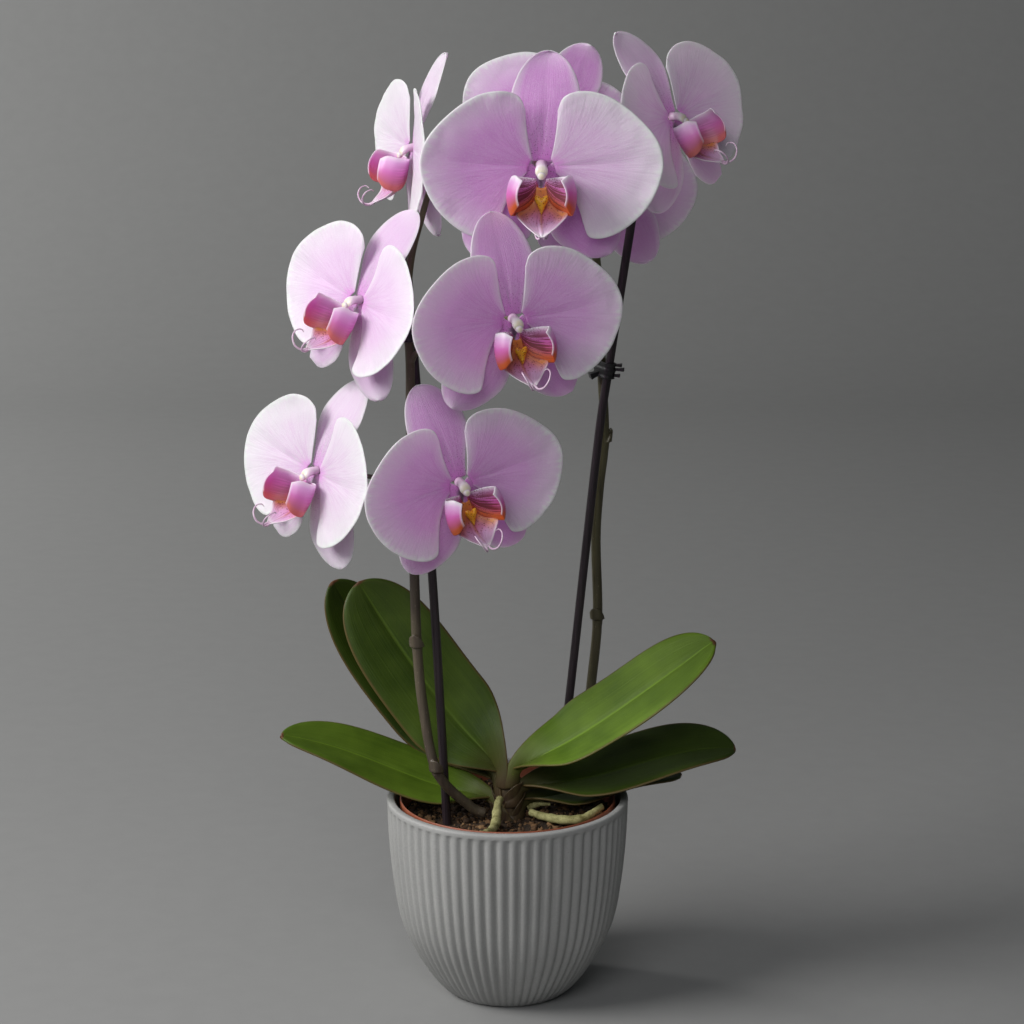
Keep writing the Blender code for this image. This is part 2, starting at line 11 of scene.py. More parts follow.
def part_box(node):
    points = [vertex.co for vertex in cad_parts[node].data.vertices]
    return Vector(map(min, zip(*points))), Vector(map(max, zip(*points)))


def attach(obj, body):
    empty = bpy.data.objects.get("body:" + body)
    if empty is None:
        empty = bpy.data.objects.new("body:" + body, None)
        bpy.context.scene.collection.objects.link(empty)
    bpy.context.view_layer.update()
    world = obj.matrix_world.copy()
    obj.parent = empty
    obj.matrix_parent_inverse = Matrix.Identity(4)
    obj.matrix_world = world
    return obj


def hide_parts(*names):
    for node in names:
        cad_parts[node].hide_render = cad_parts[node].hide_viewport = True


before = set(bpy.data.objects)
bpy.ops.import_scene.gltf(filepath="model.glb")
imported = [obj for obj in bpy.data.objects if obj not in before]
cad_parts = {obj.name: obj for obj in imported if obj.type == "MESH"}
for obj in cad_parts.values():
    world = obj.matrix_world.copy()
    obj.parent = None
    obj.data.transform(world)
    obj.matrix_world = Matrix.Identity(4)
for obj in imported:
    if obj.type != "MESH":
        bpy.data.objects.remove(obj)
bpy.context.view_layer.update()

bl_info = {
    "name": "Potted moth orchid",
    "version": (1, 0, 0),
    "blender": (4, 5, 0),
    "location": "3D View > Sidebar > Orchid",
    "description": "Models a moth orchid in its pots, piece by piece",
    "category": "Object",
}

MM = 0.001
FLOWERS = {
    # name: place, turn, tilt, roll in degrees, size, its stem, where its stalk leaves the stem
    "flower_1": ((0.0175, -0.0500, 0.4665), 0, 3, 0, 1.00, "right", 0.86),
    "flower_2": ((0.0028, -0.0780, 0.3920), 22, 3, 4, 0.93, "left", 0.667),
    "flower_3": ((-0.0248, -0.0750, 0.3065), 25, 3, 11, 0.91, "left", 0.55),
    "flower_4": ((-0.0492, 0.0074, 0.4697), -74, 5, -3, 0.88, "left", 0.97),
    "flower_5": ((-0.0765, -0.0396, 0.3953), -50, 18, -12, 0.92, "left", 0.79),
    "flower_6": ((-0.1010, -0.0300, 0.3025), -50, 15, -9, 0.92, "left", 0.50),
    "flower_7": ((0.0870, 0.0100, 0.4855), 49, 19, 13, 0.90, "right", 0.93),
    "flower_8": ((0.0540, 0.0680, 0.4437), 180, 0, 8, 0.84, "right", 0.80),
    "flower_9": ((0.0245, 0.0410, 0.4785), 178, 2, 24, 0.84, "right", 0.97),
}
# painted light: how much of the pale margin colour is mixed into each flower's left petal and sepals, and
# into its right petal, more on the flowers and petals that are lit brighter
LIT_PALENESS = {
    "flower_1": (0.0, 0.35), "flower_2": (0.10, 0.10), "flower_3": (0.10, 0.10), "flower_4": (0.60, 0.60),
    "flower_5": (0.35, 0.35), "flower_6": (0.55, 0.55), "flower_7": (0.55, 0.55), "flower_8": (0.20, 0.20),
    "flower_9": (0.0, 0.0),
}
# how far the top sepal leans to the left, in degrees
LEANS = {"flower_1": -4, "flower_2": 2, "flower_3": 7}
LEAVES = {
    # name: curve of its midrib, half width, roll about the midrib in degrees, fold of its halves,
    # bluntness of its tip, how light its green is as painted light and shade: darker for the leaves in shade,
    # lighter for the reflection on the high right leaf
    "leaf_left_low": (
        [(-0.0098, 0.004, 0.1120), (-0.040, 0.008, 0.1060),
         (-0.082, 0.006, 0.1400), (-0.1245, -0.004, 0.1470)],
        0.0210, -25, 0.20, 2.0, 1.15,
    ),
    "leaf_left_tall": (
        [(-0.0040, 0.004, 0.1295), (-0.022, 0.009, 0.1400),
         (-0.056, 0.020, 0.1820), (-0.0825, 0.027, 0.2265)],
        0.0265, -60, 0.18, 4.0, 0.70,
    ),
    "leaf_left_back": (
        [(-0.0095, 0.009, 0.1225), (-0.036, 0.036, 0.1370),
         (-0.071, 0.042, 0.1740), (-0.0980, 0.040, 0.2235)],
        0.0220, -56, 0.16, 4.0, 0.50,
    ),
    "leaf_right_high": (
        [(0.0045, -0.003, 0.1300), (0.036, -0.006, 0.1400),
         (0.072, -0.010, 0.1730), (0.1130, -0.006, 0.2015)],
        0.0245, 27, 0.22, 3.6, 1.85,
    ),
    "leaf_right_middle": (
        [(0.0100, 0.001, 0.1190), (0.046, 0.002, 0.1120),
         (0.088, 0.004, 0.1410), (0.1260, 0.004, 0.1370)],
        0.0245, 18, 0.22, 2.6, 0.50,
    ),
    "leaf_right_low": (
        [(0.0100, 0.005, 0.1090), (0.036, 0.012, 0.1030),
         (0.066, 0.018, 0.1230), (0.0970, 0.020, 0.1170)],
        0.0210, 10, 0.20, 2.0, 0.50,
    ),
}
ROOTS = {
    "root_front": (
        [(-0.004, -0.0092, 0.1130), (-0.0055, -0.0155, 0.1110), (-0.0065, -0.026, 0.1045),
         (-0.0095, -0.038, 0.1040), (-0.0150, -0.050, 0.1065)],
        (0.0020, 0.0027, 0.0019),
    ),
    "root_right": (
        [(0.0125, -0.0060, 0.1040), (0.0200, -0.0120, 0.1035), (0.0310, -0.0190, 0.1040),
         (0.0420, -0.0200, 0.1055), (0.0525, -0.0120, 0.1095)],
        (0.0019, 0.0026, 0.0019),
    ),
    "root_back": (
        [(0.0110, 0.0030, 0.1035), (0.0150, 0.0033, 0.1048), (0.0190, 0.0028, 0.1058),
         (0.0240, 0.0010, 0.1062)],
        (0.0018, 0.0017, 0.0009),
    ),
}
STAKES = {
    "stake_left": [(-0.0291, -0.0112, 0.030), (-0.0334, -0.0112, 0.100), (-0.0408, -0.0120, 0.243),
                   (-0.0491, -0.0120, 0.354), (-0.0540, -0.0120, 0.425)],
    "stake_right": [(0.0205, 0.0260, 0.045), (0.0282, 0.0400, 0.100), (0.0345, 0.0400, 0.152),
                    (0.0496, 0.0400, 0.299), (0.0556, 0.0400, 0.344), (0.0668, 0.0400, 0.421),
                    (0.0705, 0.0400, 0.445)],
}
STEMS = {
    "left": [(-0.0128, -0.0110, 0.1050), (-0.0210, -0.0125, 0.1100), (-0.0385, -0.0200, 0.1320),
             (-0.0460, -0.0185, 0.1690), (-0.0490, -0.0180, 0.2030), (-0.0500, -0.0180, 0.2363),
             (-0.0510, -0.0185, 0.2900), (-0.0515, -0.0190, 0.3300), (-0.0515, -0.0185, 0.3600),
             (-0.0530, -0.0180, 0.3880), (-0.0505, -0.0195, 0.4150), (-0.0437, -0.0240, 0.4400),
             (-0.0365, -0.0280, 0.4650)],
    "right": [(0.0090, 0.0120, 0.1065), (0.0260, 0.0260, 0.1090), (0.0430, 0.0375, 0.1215),
              (0.0472, 0.0470, 0.1590), (0.0508, 0.0475, 0.2004), (0.0496, 0.0470, 0.2468),
              (0.0512, 0.0470, 0.2760), (0.0540, 0.0472, 0.3050), (0.0521, 0.0468, 0.3440),
              (0.0504, 0.0430, 0.3780), (0.0485, 0.0300, 0.4050), (0.0450, 0.0120, 0.4300),
              (0.0400, 0.0020, 0.4600), (0.0360, -0.0020, 0.4900)],
}
# heights of the joints along each flower stem
STEM_JOINTS = {"left": (0.132, 0.203, 0.283), "right": (0.2004, 0.3020, 0.3900)}
CLIPS = {"clip_left": ("stake_left", "left", 0.3750), "clip_right": ("stake_right", "right", 0.3445)}

SEPALS = (
    # direction in degrees, length, half width, how far its halves fold, in millimetres
    (90, 58.0, 17.5, 1.4),
    (231.5, 58.0, 17.5, -1.6),
    (308.5, 58.0, 17.5, -1.6),
)
PETAL_CLAW = [(7.0, -3.0, 0), (5.6, 0.0, 0), (4.6, 3.0, 0)]
PETAL_MIDDLE = [(17, -12, 0), (26, -9, 0), (33, 1, 0), (22, 13, 0), (7.8, 15, 0)]
PETAL_EDGE = [(21.4, -29, 0), (24.5, -36, 0), (33, -36.3, 0), (44, -30.8, 0), (55, -19.5, 0), (61.6, -3, 0),
              (60, 11, 0), (50, 24, 0), (35, 35, 0), (21, 38.2, 0), (11.4, 35.2, 0), (8.2, 28, 0)]


# ---------------------------------------------------------------- shapes
def smooth(low, high, value):
    t = min(max((value - low) / (high - low), 0.0), 1.0)
    return t * t * (3 - 2 * t)


def through(points, share):
    """A point at share (0 to 1) along the smooth curve through the given points."""
    points = [Vector(p) for p in points]
    place = min(max(share, 0.0), 1.0) * (len(points) - 1)
    i = min(int(place), len(points) - 2)
    u = place - i
    p1, p2 = points[i], points[i + 1]
    p0 = points[i - 1] if i else 2 * p1 - p2
    p3 = points[i + 2] if i + 2 < len(points) else 2 * p2 - p1
    ahead, back = (p2 - p0) / 2, (p3 - p1) / 2
    return (
        p1 * (2 * u**3 - 3 * u**2 + 1)
        + ahead * (u**3 - 2 * u**2 + u)
        + p2 * (3 * u**2 - 2 * u**3)
        + back * (u**3 - u**2)
    )


def profile(values, share):
    return through([(v, 0, 0) for v in values], share).x


def bezier(points, share):
    a, b, c, d = (Vector(p) for p in points)
    r = 1 - share
    return a * r**3 + b * 3 * r * r * share + c * 3 * r * share**2 + d * share**3


def ring_point(radius, angle, height):
    return Vector((radius * math.cos(angle), radius * math.sin(angle), height))


def ridge(value, width):
    """1 at 0, falling softly away to either side."""
    return math.exp(-((value / width) ** 2))


def flower_matrix(place, turn, tilt, roll, size):
    """Turned to the right, tilted up and rolled anticlockwise, from a flower that faces -Y."""
    turned_to = Matrix.Rotation(math.radians(turn), 4, "Z") @ Matrix.Rotation(math.radians(90 - tilt), 4, "X")
    rolled = turned_to @ Matrix.Rotation(math.radians(roll), 4, "Z")
    return Matrix.Translation(place) @ rolled @ Matrix.Scale(size, 4)


# ---------------------------------------------------------------- modelling
def start(name):
    """Names the primitive that was just added, and gives it back alone in the selection."""
    piece = bpy.context.object
    piece.name = name
    piece.data.name = name
    return piece


def deselect():
    bpy.ops.object.select_all(action="DESELECT")


def alone(*pieces):
    """Selects only these pieces, and makes the first the active one."""
    deselect()
    for piece in pieces:
        piece.select_set(True)
    bpy.context.view_layer.objects.active = pieces[0]


def edit(piece, select=True):
    """Opens a piece in edit mode with all or none of it selected."""
    alone(piece)
    bpy.ops.object.mode_set(mode="EDIT")
    bpy.ops.mesh.select_mode(type="VERT")
    bpy.ops.mesh.select_all(action="SELECT" if select else "DESELECT")


def object_mode():
    bpy.ops.object.mode_set(mode="OBJECT")


def apply_modifier(piece, kind, **settings):
    step = piece.modifiers.new(kind.lower(), kind)
    for key, value in settings.items():
        setattr(step, key, value)
    alone(piece)
    bpy.ops.object.modifier_apply(modifier=step.name)


def subdivide_smooth(piece):
    apply_modifier(piece, "SUBSURF", levels=1, render_levels=1)


def settle_place(piece):
    alone(piece)
    bpy.ops.object.transform_apply(location=True, rotation=True, scale=True)


def join(name, pieces):
    alone(*pieces)
    if len(pieces) > 1:
        bpy.ops.object.join()
    return start(name)


def dress(piece, nodes=(), finishes=()):
    """Gives a finished piece its finishes and smooth shading, ties it to the root body, and hides the
    imported parts it stands for.
    """
    if finishes:
        piece.data.materials.clear()
        for finish in finishes:
            piece.data.materials.append(finish)
    alone(piece)
    bpy.ops.object.shade_smooth()
    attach(piece, "root")
    if nodes:
        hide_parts(*nodes)


def sheet(name, place, rows, columns, face=None):
    """A grid carried onto a surface: place(s, t) with s from 0 to 1 along it, t from -1 to 1 across it.
    face(s, t) gives a direction that its front looks towards."""
    deselect()
    bpy.ops.mesh.primitive_grid_add(x_subdivisions=rows, y_subdivisions=columns, size=2)
    piece = start(name)
    for vert in piece.data.vertices:
        vert.co = place((vert.co.x + 1) / 2, vert.co.y)
    edit(piece)
    bpy.ops.mesh.remove_doubles(threshold=1e-5)
    object_mode()
    if face is not None:
        middle = sum((f.normal * f.area for f in piece.data.polygons), Vector())
        if middle.dot(face) < 0:
            edit(piece)
            bpy.ops.mesh.flip_normals()
            object_mode()
    return piece


def wall(piece, thickness, thin_edge=0.0, under=0):
    """Gives a sheet its thickness. thin_edge of 0.5 makes its sides half as thick as its middle."""
    group = piece.vertex_groups.new(name="body")
    layer = piece.data.uv_layers[0].data
    across = {}
    for loop in piece.data.loops:
        across[loop.vertex_index] = layer[loop.index].uv.y
    for index, v in across.items():
        group.add([index], 1 - thin_edge * abs(2 * v - 1) ** 3, "REPLACE")
    apply_modifier(
        piece, "SOLIDIFY", thickness=thickness, offset=0.0, vertex_group="body",
        material_offset=under, material_offset_rim=0,
    )


def tube(name, points, radii, samples, sides, swell=None):
    """A round stem through the points: a path curve with a bevel, made a closed mesh."""
    deselect()
    bpy.ops.curve.primitive_nurbs_path_add()
    piece = start(name)
    data = piece.data
    data.splines.clear()
    data.bevel_depth = 1.0
    data.bevel_resolution = max(sides // 2 - 2, 0)
    data.resolution_u = 1
    data.use_fill_caps = True
    spline = data.splines.new("POLY")
    spline.points.add(samples)
    for i, point in enumerate(spline.points):
        share = i / samples
        place = through(points, share)
        point.co = (*place, 1.0)
        point.radius = profile(radii, share) * (swell(place, share) if swell else 1.0)
    bpy.ops.object.convert(target="MESH")
    edit(piece)
    bpy.ops.mesh.remove_doubles(threshold=1e-5)
    bpy.ops.mesh.normals_make_consistent(inside=False)
    object_mode()
    return piece


def turned(name, rings, steps):
    """A cup or solid drawn up from a ring, open-ended: each (radius, height) is extruded from the last."""
    deselect()
    first, *rest = rings
    bpy.ops.mesh.primitive_circle_add(vertices=steps, radius=first[0], location=(0, 0, first[1]))
    piece = start(name)
    settle_place(piece)
    edit(piece)
    radius, height = first
    for next_radius, next_height in rest:
        bpy.ops.mesh.extrude_edges_move(TRANSFORM_OT_translate={"value": (0, 0, next_height - height)})
        grow = next_radius / radius
        bpy.ops.transform.resize(value=(grow, grow, 1), center_override=(0, 0, 0))
        radius, height = next_radius, next_height
    object_mode()
    return piece


def close_ends(piece):
    """Fills the open ends of a turned piece and faces its skin outward."""
    edit(piece)
    bpy.ops.mesh.fill_holes(sides=0)
    bpy.ops.mesh.normals_make_consistent(inside=False)
    object_mode()


def edit_points(piece, chosen):
    """Opens a piece in edit mode with only its chosen points selected."""
    edit(piece, select=False)
    object_mode()
    for vert in piece.data.vertices:
        vert.select = chosen(vert)
    bpy.ops.object.mode_set(mode="EDIT")


def pull(piece, chosen, factor):
    """Scales the chosen points of a turned piece about its axis."""
    edit_points(piece, chosen)
    bpy.ops.transform.resize(value=(factor, factor, 1), center_override=(0, 0, 0))
    object_mode()


def blob(name, place, segments, rings):
    """A closed rounded body: a sphere's points carried to place(x, y, z) from a unit ball."""
    deselect()
    bpy.ops.mesh.primitive_uv_sphere_add(segments=segments, ring_count=rings, radius=1)
    piece = start(name)
    for vert in piece.data.vertices:
        vert.co = place(*vert.co)
    return piece


# ---------------------------------------------------------------- finishes
# how far red, green and blue light run under a petal's skin, against each other
SOFT_LIGHT_REACH = (1.0, 0.75, 0.95)


def add_node(tree, kind, inputs=(), **settings):
    """A shader node, with its settings, and its inputs either linked or set."""
    made = tree.nodes.new("ShaderNode" + kind)
    for key, value in settings.items():
        setattr(made, key, value)
    for key, value in dict(inputs).items():
        socket = made.inputs[key]
        if isinstance(value, bpy.types.NodeSocket):
            tree.links.new(value, socket)
        else:
            socket.default_value = value
    return made


def calc(tree, operation, a, b=0.0):
    return add_node(tree, "Math", {0: a, 1: b}, operation=operation).outputs[0]


def times(tree, a, b):
    return calc(tree, "MULTIPLY", a, b)


def plus(tree, a, b):
    return calc(tree, "ADD", a, b)


def blend(tree, first, second, share, other_share):
    """Two patterns added, each by its own share."""
    return plus(tree, times(tree, first, share), times(tree, second, other_share))


def sway(tree, pattern, reach):
    """A pattern's wander to either side of its middle."""
    return times(tree, calc(tree, "SUBTRACT", pattern, 0.5), reach)


def fit(tree, value, low, high, start_at=0.0, end_at=1.0):
    """A value that runs from start_at to end_at, carried onto low to high."""
    return add_node(tree, "MapRange", {0: value, 1: start_at, 2: end_at, 3: low, 4: high}).outputs[0]


def ramp(tree, factor, stops):
    """Colour or grey along a factor. stops are (position, colour) or (position, value)."""
    made = add_node(tree, "ValToRGB", {"Fac": factor})
    band = made.color_ramp
    while len(band.elements) < len(stops):
        band.elements.new(0.5)
    for element, (position, shade) in zip(band.elements, stops):
        element.position = position
        element.color = (*shade, 1.0) if hasattr(shade, "__len__") else (shade, shade, shade, 1.0)
    return made.outputs["Color"]


def mix(tree, factor, first, second):
    """One colour laid over another by a factor from 0 to 1."""
    made = add_node(tree, "Mix", {0: factor}, data_type="RGBA")
    for socket, value in ((made.inputs[6], first), (made.inputs[7], second)):
        if isinstance(value, bpy.types.NodeSocket):
            tree.links.new(value, socket)
        else:
            socket.default_value = (*value, 1.0)
    return made.outputs[2]


def grain(tree, coords, scale, stretch=(1, 1, 1), detail=3.0, roughness=0.55, warp=0.0):
    """Soft cloudy noise, finer along the axes that are stretched more."""
    spread = add_node(tree, "Mapping", {"Vector": coords, "Scale": stretch}).outputs[0]
    return add_node(
        tree, "TexNoise",
        {"Vector": spread, "Scale": scale, "Detail": detail, "Roughness": roughness, "Distortion": warp},
    ).outputs["Fac"]


def spots(tree, coords, scale, low, high, stretch=(1, 1, 1)):
    """1 inside scattered round spots, 0 between them."""
    spread = add_node(tree, "Mapping", {"Vector": coords, "Scale": stretch}).outputs[0]
    cells = add_node(tree, "TexVoronoi", {"Vector": spread, "Scale": scale})
    return ramp(tree, cells.outputs["Distance"], [(low, 1.0), (high, 0.0)])


def new_finish(name):
    """A finish, its node tree, its shader, and its object and UV coordinates."""
    finish = bpy.data.materials.new(name)
    finish.use_nodes = True
    tree = finish.node_tree
    shader = tree.nodes["Principled BSDF"]
    coords = tree.nodes.new("ShaderNodeTexCoord")
    return finish, tree, shader, coords.outputs["Object"], coords.outputs["UV"]


def along_and_across(tree, uv):
    """How far out along a sheet a spot is, and how far across it."""
    parts = add_node(tree, "SeparateXYZ", {0: uv})
    return parts.outputs[0], parts.outputs[1]


def from_middle(tree, across):
    """0 on a sheet's middle line, 1 on its sides."""
    return calc(tree, "ABSOLUTE", calc(tree, "SUBTRACT", times(tree, across, 2.0), 1.0))


def connect(tree, shader, colour, roughness, height, strength, distance, **fixed):
    """Links colour, roughness and bump to the shader, and sets its plain sockets."""
    tree.links.new(colour, shader.inputs["Base Color"])
    if isinstance(roughness, bpy.types.NodeSocket):
        tree.links.new(roughness, shader.inputs["Roughness"])
    else:
        shader.inputs["Roughness"].default_value = roughness
    bump = add_node(tree, "Bump", {"Height": height, "Strength": strength, "Distance": distance})
    tree.links.new(bump.outputs[0], shader.inputs["Normal"])
    shader.inputs["Subsurface Radius"].default_value = SOFT_LIGHT_REACH
    for key, value in fixed.items():
        shader.inputs[key.replace("_", " ").title().replace("Ior", "IOR")].default_value = value


def tinted(colour, factor):
    return tuple(min(c * factor, 1.0) for c in colour)


def petal_finish(name, ground, vein, pale, speckled):
    """Lilac petal: deeper and veined near the claw, fading to a pale margin. U runs out along it."""
    finish, tree, shader, place, uv = new_finish(name)
    out, across = along_and_across(tree, uv)
    side = from_middle(tree, across)
    broad = grain(tree, uv, 1.0, (1.2, 9.0, 1.0), 2.0)
    streaks = grain(tree, uv, 1.0, (2.2, 58.0, 1.0), 4.0, 0.6, 0.3)
    fine = grain(tree, uv, 1.0, (5.0, 170.0, 1.0), 3.0, 0.6, 0.4)
    cells = grain(tree, place, 1500.0, (1, 1, 1), 2.0)
    veins = ramp(tree, streaks, [(0.47, 0.0), (0.60, 1.0)])
    fading = ramp(tree, plus(tree, out, times(tree, broad, 0.25)), [
        (0.10, tinted(vein, 1.15)), (0.28, tinted(ground, 0.88)), (0.55, ground), (1.0, tinted(ground, 1.06)),
    ])
    ragged = sway(tree, streaks, 0.16)
    margin = calc(
        tree, "MAXIMUM",
        ramp(tree, plus(tree, out, ragged), [(0.60, 0.0), (0.93, 0.42), (0.985, 0.85)]),
        ramp(tree, plus(tree, side, ragged), [(0.70, 0.0), (0.96, 0.40), (1.0, 0.80)]),
    )
    crease = times(tree, ramp(tree, side, [(0.0, 0.55), (0.022, 0.0)]),
                  ramp(tree, out, [(0.10, 1.0), (0.62, 0.0)]))
    strength = times(tree, veins, ramp(tree, out, [(0.0, 0.42), (0.5, 0.20), (0.95, 0.0)]))
    strength = plus(tree, strength, times(tree, ramp(tree, fine, [(0.5, 0.0), (0.62, 1.0)]), 0.10))
    strength = calc(tree, "MAXIMUM", strength, crease)
    veined = mix(tree, strength, fading, vein)
    edged = mix(tree, margin, veined, pale)
    if speckled:
        dots = spots(tree, place, 900.0, 0.16, 0.30)
        near = ramp(tree, out, [(0.06, 0.9), (0.42, 0.0)])
        edged = mix(tree, times(tree, dots, near), edged, tinted(vein, 0.55))
    height = blend(tree, streaks, fine, 1.0, 0.5)
    height = plus(tree, height, times(tree, cells, 0.30))
    # painted highlight: faint pale glints over the petal's cells
    edged = mix(tree, ramp(tree, cells, [(0.50, 0.0), (0.68, 0.16)]), edged, pale)
    gloss = fit(tree, cells, 0.42, 0.62)
    connect(tree, shader, edged, gloss, height, 0.38, 0.0006, subsurface_weight=0.80,
            subsurface_scale=0.0030, sheen_weight=0.12, sheen_roughness=0.45)
    return finish


def lip_inside_finish(name, lit_fade):
    """The side lobes' inner face: pale pink with red-brown stripes and an orange lower edge."""
    finish, tree, shader, place, uv = new_finish(name)
    out, up = along_and_across(tree, uv)
    ground = ramp(tree, up, [
        (0.0, (0.60, 0.10, 0.012)), (0.14, (0.58, 0.11, 0.02)), (0.26, (0.50, 0.10, 0.16)),
        (0.55, (0.58, 0.13, 0.42)), (0.84, (0.66, 0.36, 0.64)), (1.0, (0.86, 0.78, 0.87)),
    ])
    rim = mix(tree, ramp(tree, out, [(0.93, 0.0), (1.0, 0.7)]), ground, (0.84, 0.74, 0.85))
    lines = grain(tree, uv, 1.0, (1.6, 19.0, 1.0), 1.5, 0.45, 0.2)
    stripe = ramp(tree, lines, [(0.46, 0.0), (0.52, 1.0)])
    reach = times(tree, ramp(tree, out, [(0.05, 1.0), (0.46, 0.9), (0.66, 0.0)]),
                 ramp(tree, up, [(0.0, 0.25), (0.2, 1.0), (0.72, 0.8), (0.95, 0.0)]))
    # painted light: on lit lips the rim is paled and the stripes and throat spots are washed out
    rim = mix(tree, 0.25 * lit_fade, rim, (0.84, 0.42, 0.76))
    stripe = times(tree, times(tree, stripe, reach), 1.0 - lit_fade)
    striped = mix(tree, stripe, rim, (0.15, 0.010, 0.012))
    throat = times(tree, spots(tree, place, 1250.0, 0.26, 0.40),
                  ramp(tree, out, [(0.10, 0.85 * (1.0 - lit_fade)), (0.55, 0.0)]))
    striped = mix(tree, throat, striped, (0.16, 0.030, 0.040))
    connect(tree, shader, striped, 0.42, lines, 0.25, 0.0003, subsurface_weight=0.5, subsurface_scale=0.003)
    return finish


def lip_outside_finish(name, magenta, lit_fade):
    """The side lobes' outer face: magenta pink, pale at the base and rim, orange along its foot."""
    finish, tree, shader, _, uv = new_finish(name)
    out, up = along_and_across(tree, uv)
    broad = grain(tree, uv, 3.0)
    ground = ramp(tree, plus(tree, out, times(tree, broad, 0.2)), [
        (0.08, (0.74, 0.50, 0.70)), (0.40, (0.76, 0.52, 0.78)), (0.85, (0.80, 0.62, 0.83)),
        (1.0, (0.86, 0.78, 0.87)),
    ])
    ground = mix(tree, ramp(tree, up, [(0.10, 0.7), (0.40, 0.0)]), ground, magenta)
    # painted light: on lit lips the outer face is paled
    ground = mix(tree, 0.9 * lit_fade, ground, (0.90, 0.82, 0.92))
    foot = mix(tree, ramp(tree, up, [(0.06, 0.95), (0.20, 0.0)]), ground, (0.70, 0.16, 0.015))
    edge = mix(tree, ramp(tree, up, [(0.90, 0.0), (1.0, 0.80)]), foot, (0.86, 0.80, 0.87))
    lines = grain(tree, uv, 1.0, (2.0, 40.0, 1.0), 3.0)
    connect(tree, shader, edge, 0.40, lines, 0.25, 0.0003, subsurface_weight=0.6, subsurface_scale=0.003)
    return finish


def lip_blade_finish():
    """The lip's middle lobe: orange and red-spotted at its base, magenta and white further out."""
    finish, tree, shader, place, uv = new_finish("lip_blade")
    out, across = along_and_across(tree, uv)
    side = from_middle(tree, across)
    wander = times(tree, grain(tree, uv, 5.0), 0.14)
    ground = ramp(tree, plus(tree, out, wander), [
        (0.12, (0.60, 0.20, 0.03)), (0.34, (0.58, 0.18, 0.10)), (0.48, (0.64, 0.24, 0.42)),
        (0.60, (0.72, 0.42, 0.68)), (0.86, (0.80, 0.58, 0.80)), (1.0, (0.88, 0.80, 0.88)),
    ])
    corner = times(tree, ramp(tree, side, [(0.42, 0.0), (0.80, 1.0)]),
                  ramp(tree, out, [(0.20, 0.4), (0.46, 1.0), (0.64, 0.0)]))
    ground = mix(tree, corner, ground, (0.70, 0.27, 0.07))
    seam = times(tree, ramp(tree, side, [(0.0, 0.9), (0.10, 0.0)]),
                 ramp(tree, out, [(0.3, 1.0), (0.85, 0.0)]))
    ground = mix(tree, seam, ground, (0.50, 0.20, 0.03))
    lines = grain(tree, uv, 1.0, (3.0, 22.0, 1.0), 2.0, 0.5, 0.2)
    dark = times(tree, ramp(tree, lines, [(0.48, 0.0), (0.58, 1.0)]),
                ramp(tree, out, [(0.20, 0.3), (0.50, 0.9), (0.8, 0.35), (1.0, 0.0)]))
    striped = mix(tree, times(tree, dark, 0.5), ground, (0.34, 0.05, 0.20))
    dots = times(tree, spots(tree, place, 700.0, 0.20, 0.34),
                ramp(tree, out, [(0.0, 0.9), (0.50, 0.7), (0.66, 0.0)]))
    dotted = mix(tree, times(tree, dots, 0.8), striped, (0.20, 0.022, 0.015))
    pale = times(tree, ramp(tree, side, [(0.82, 0.0), (0.96, 0.95)]),
                 ramp(tree, out, [(0.50, 0.0), (0.62, 1.0)]))
    edged = mix(tree, pale, dotted, (0.84, 0.74, 0.83))
    connect(tree, shader, edged, 0.38, lines, 0.3, 0.0003, subsurface_weight=0.2, subsurface_scale=0.002)
    return finish


def callus_finish():
    """The yellow swelling in the lip's throat, with red dots."""
    finish, tree, shader, place, _ = new_finish("callus_yellow")
    broad = grain(tree, place, 350.0)
    ground = ramp(tree, broad, [(0.35, (0.72, 0.26, 0.010)), (0.65, (0.80, 0.45, 0.03))])
    dotted = mix(tree, spots(tree, place, 1100.0, 0.22, 0.36), ground, (0.27, 0.02, 0.008))
    connect(tree, shader, dotted, 0.35, broad, 0.3, 0.0003, subsurface_weight=0.15, subsurface_scale=0.002)
    return finish


def column_finish():
    """Waxy white column flushed with pink, with a cream cap. U goes round it and V along it."""
    finish, tree, shader, place, uv = new_finish("column_wax")
    along = add_node(tree, "SeparateXYZ", {0: uv}).outputs[1]
    soft = grain(tree, place, 260.0)
    ground = ramp(tree, plus(tree, along, sway(tree, soft, 0.2)), [
        (0.0, (0.62, 0.30, 0.56)), (0.35, (0.72, 0.50, 0.68)), (0.72, (0.84, 0.74, 0.80)),
        (0.9, (0.84, 0.76, 0.58)),
    ])
    connect(tree, shader, ground, 0.32, soft, 0.15, 0.0003, subsurface_weight=0.4, subsurface_scale=0.003)
    return finish


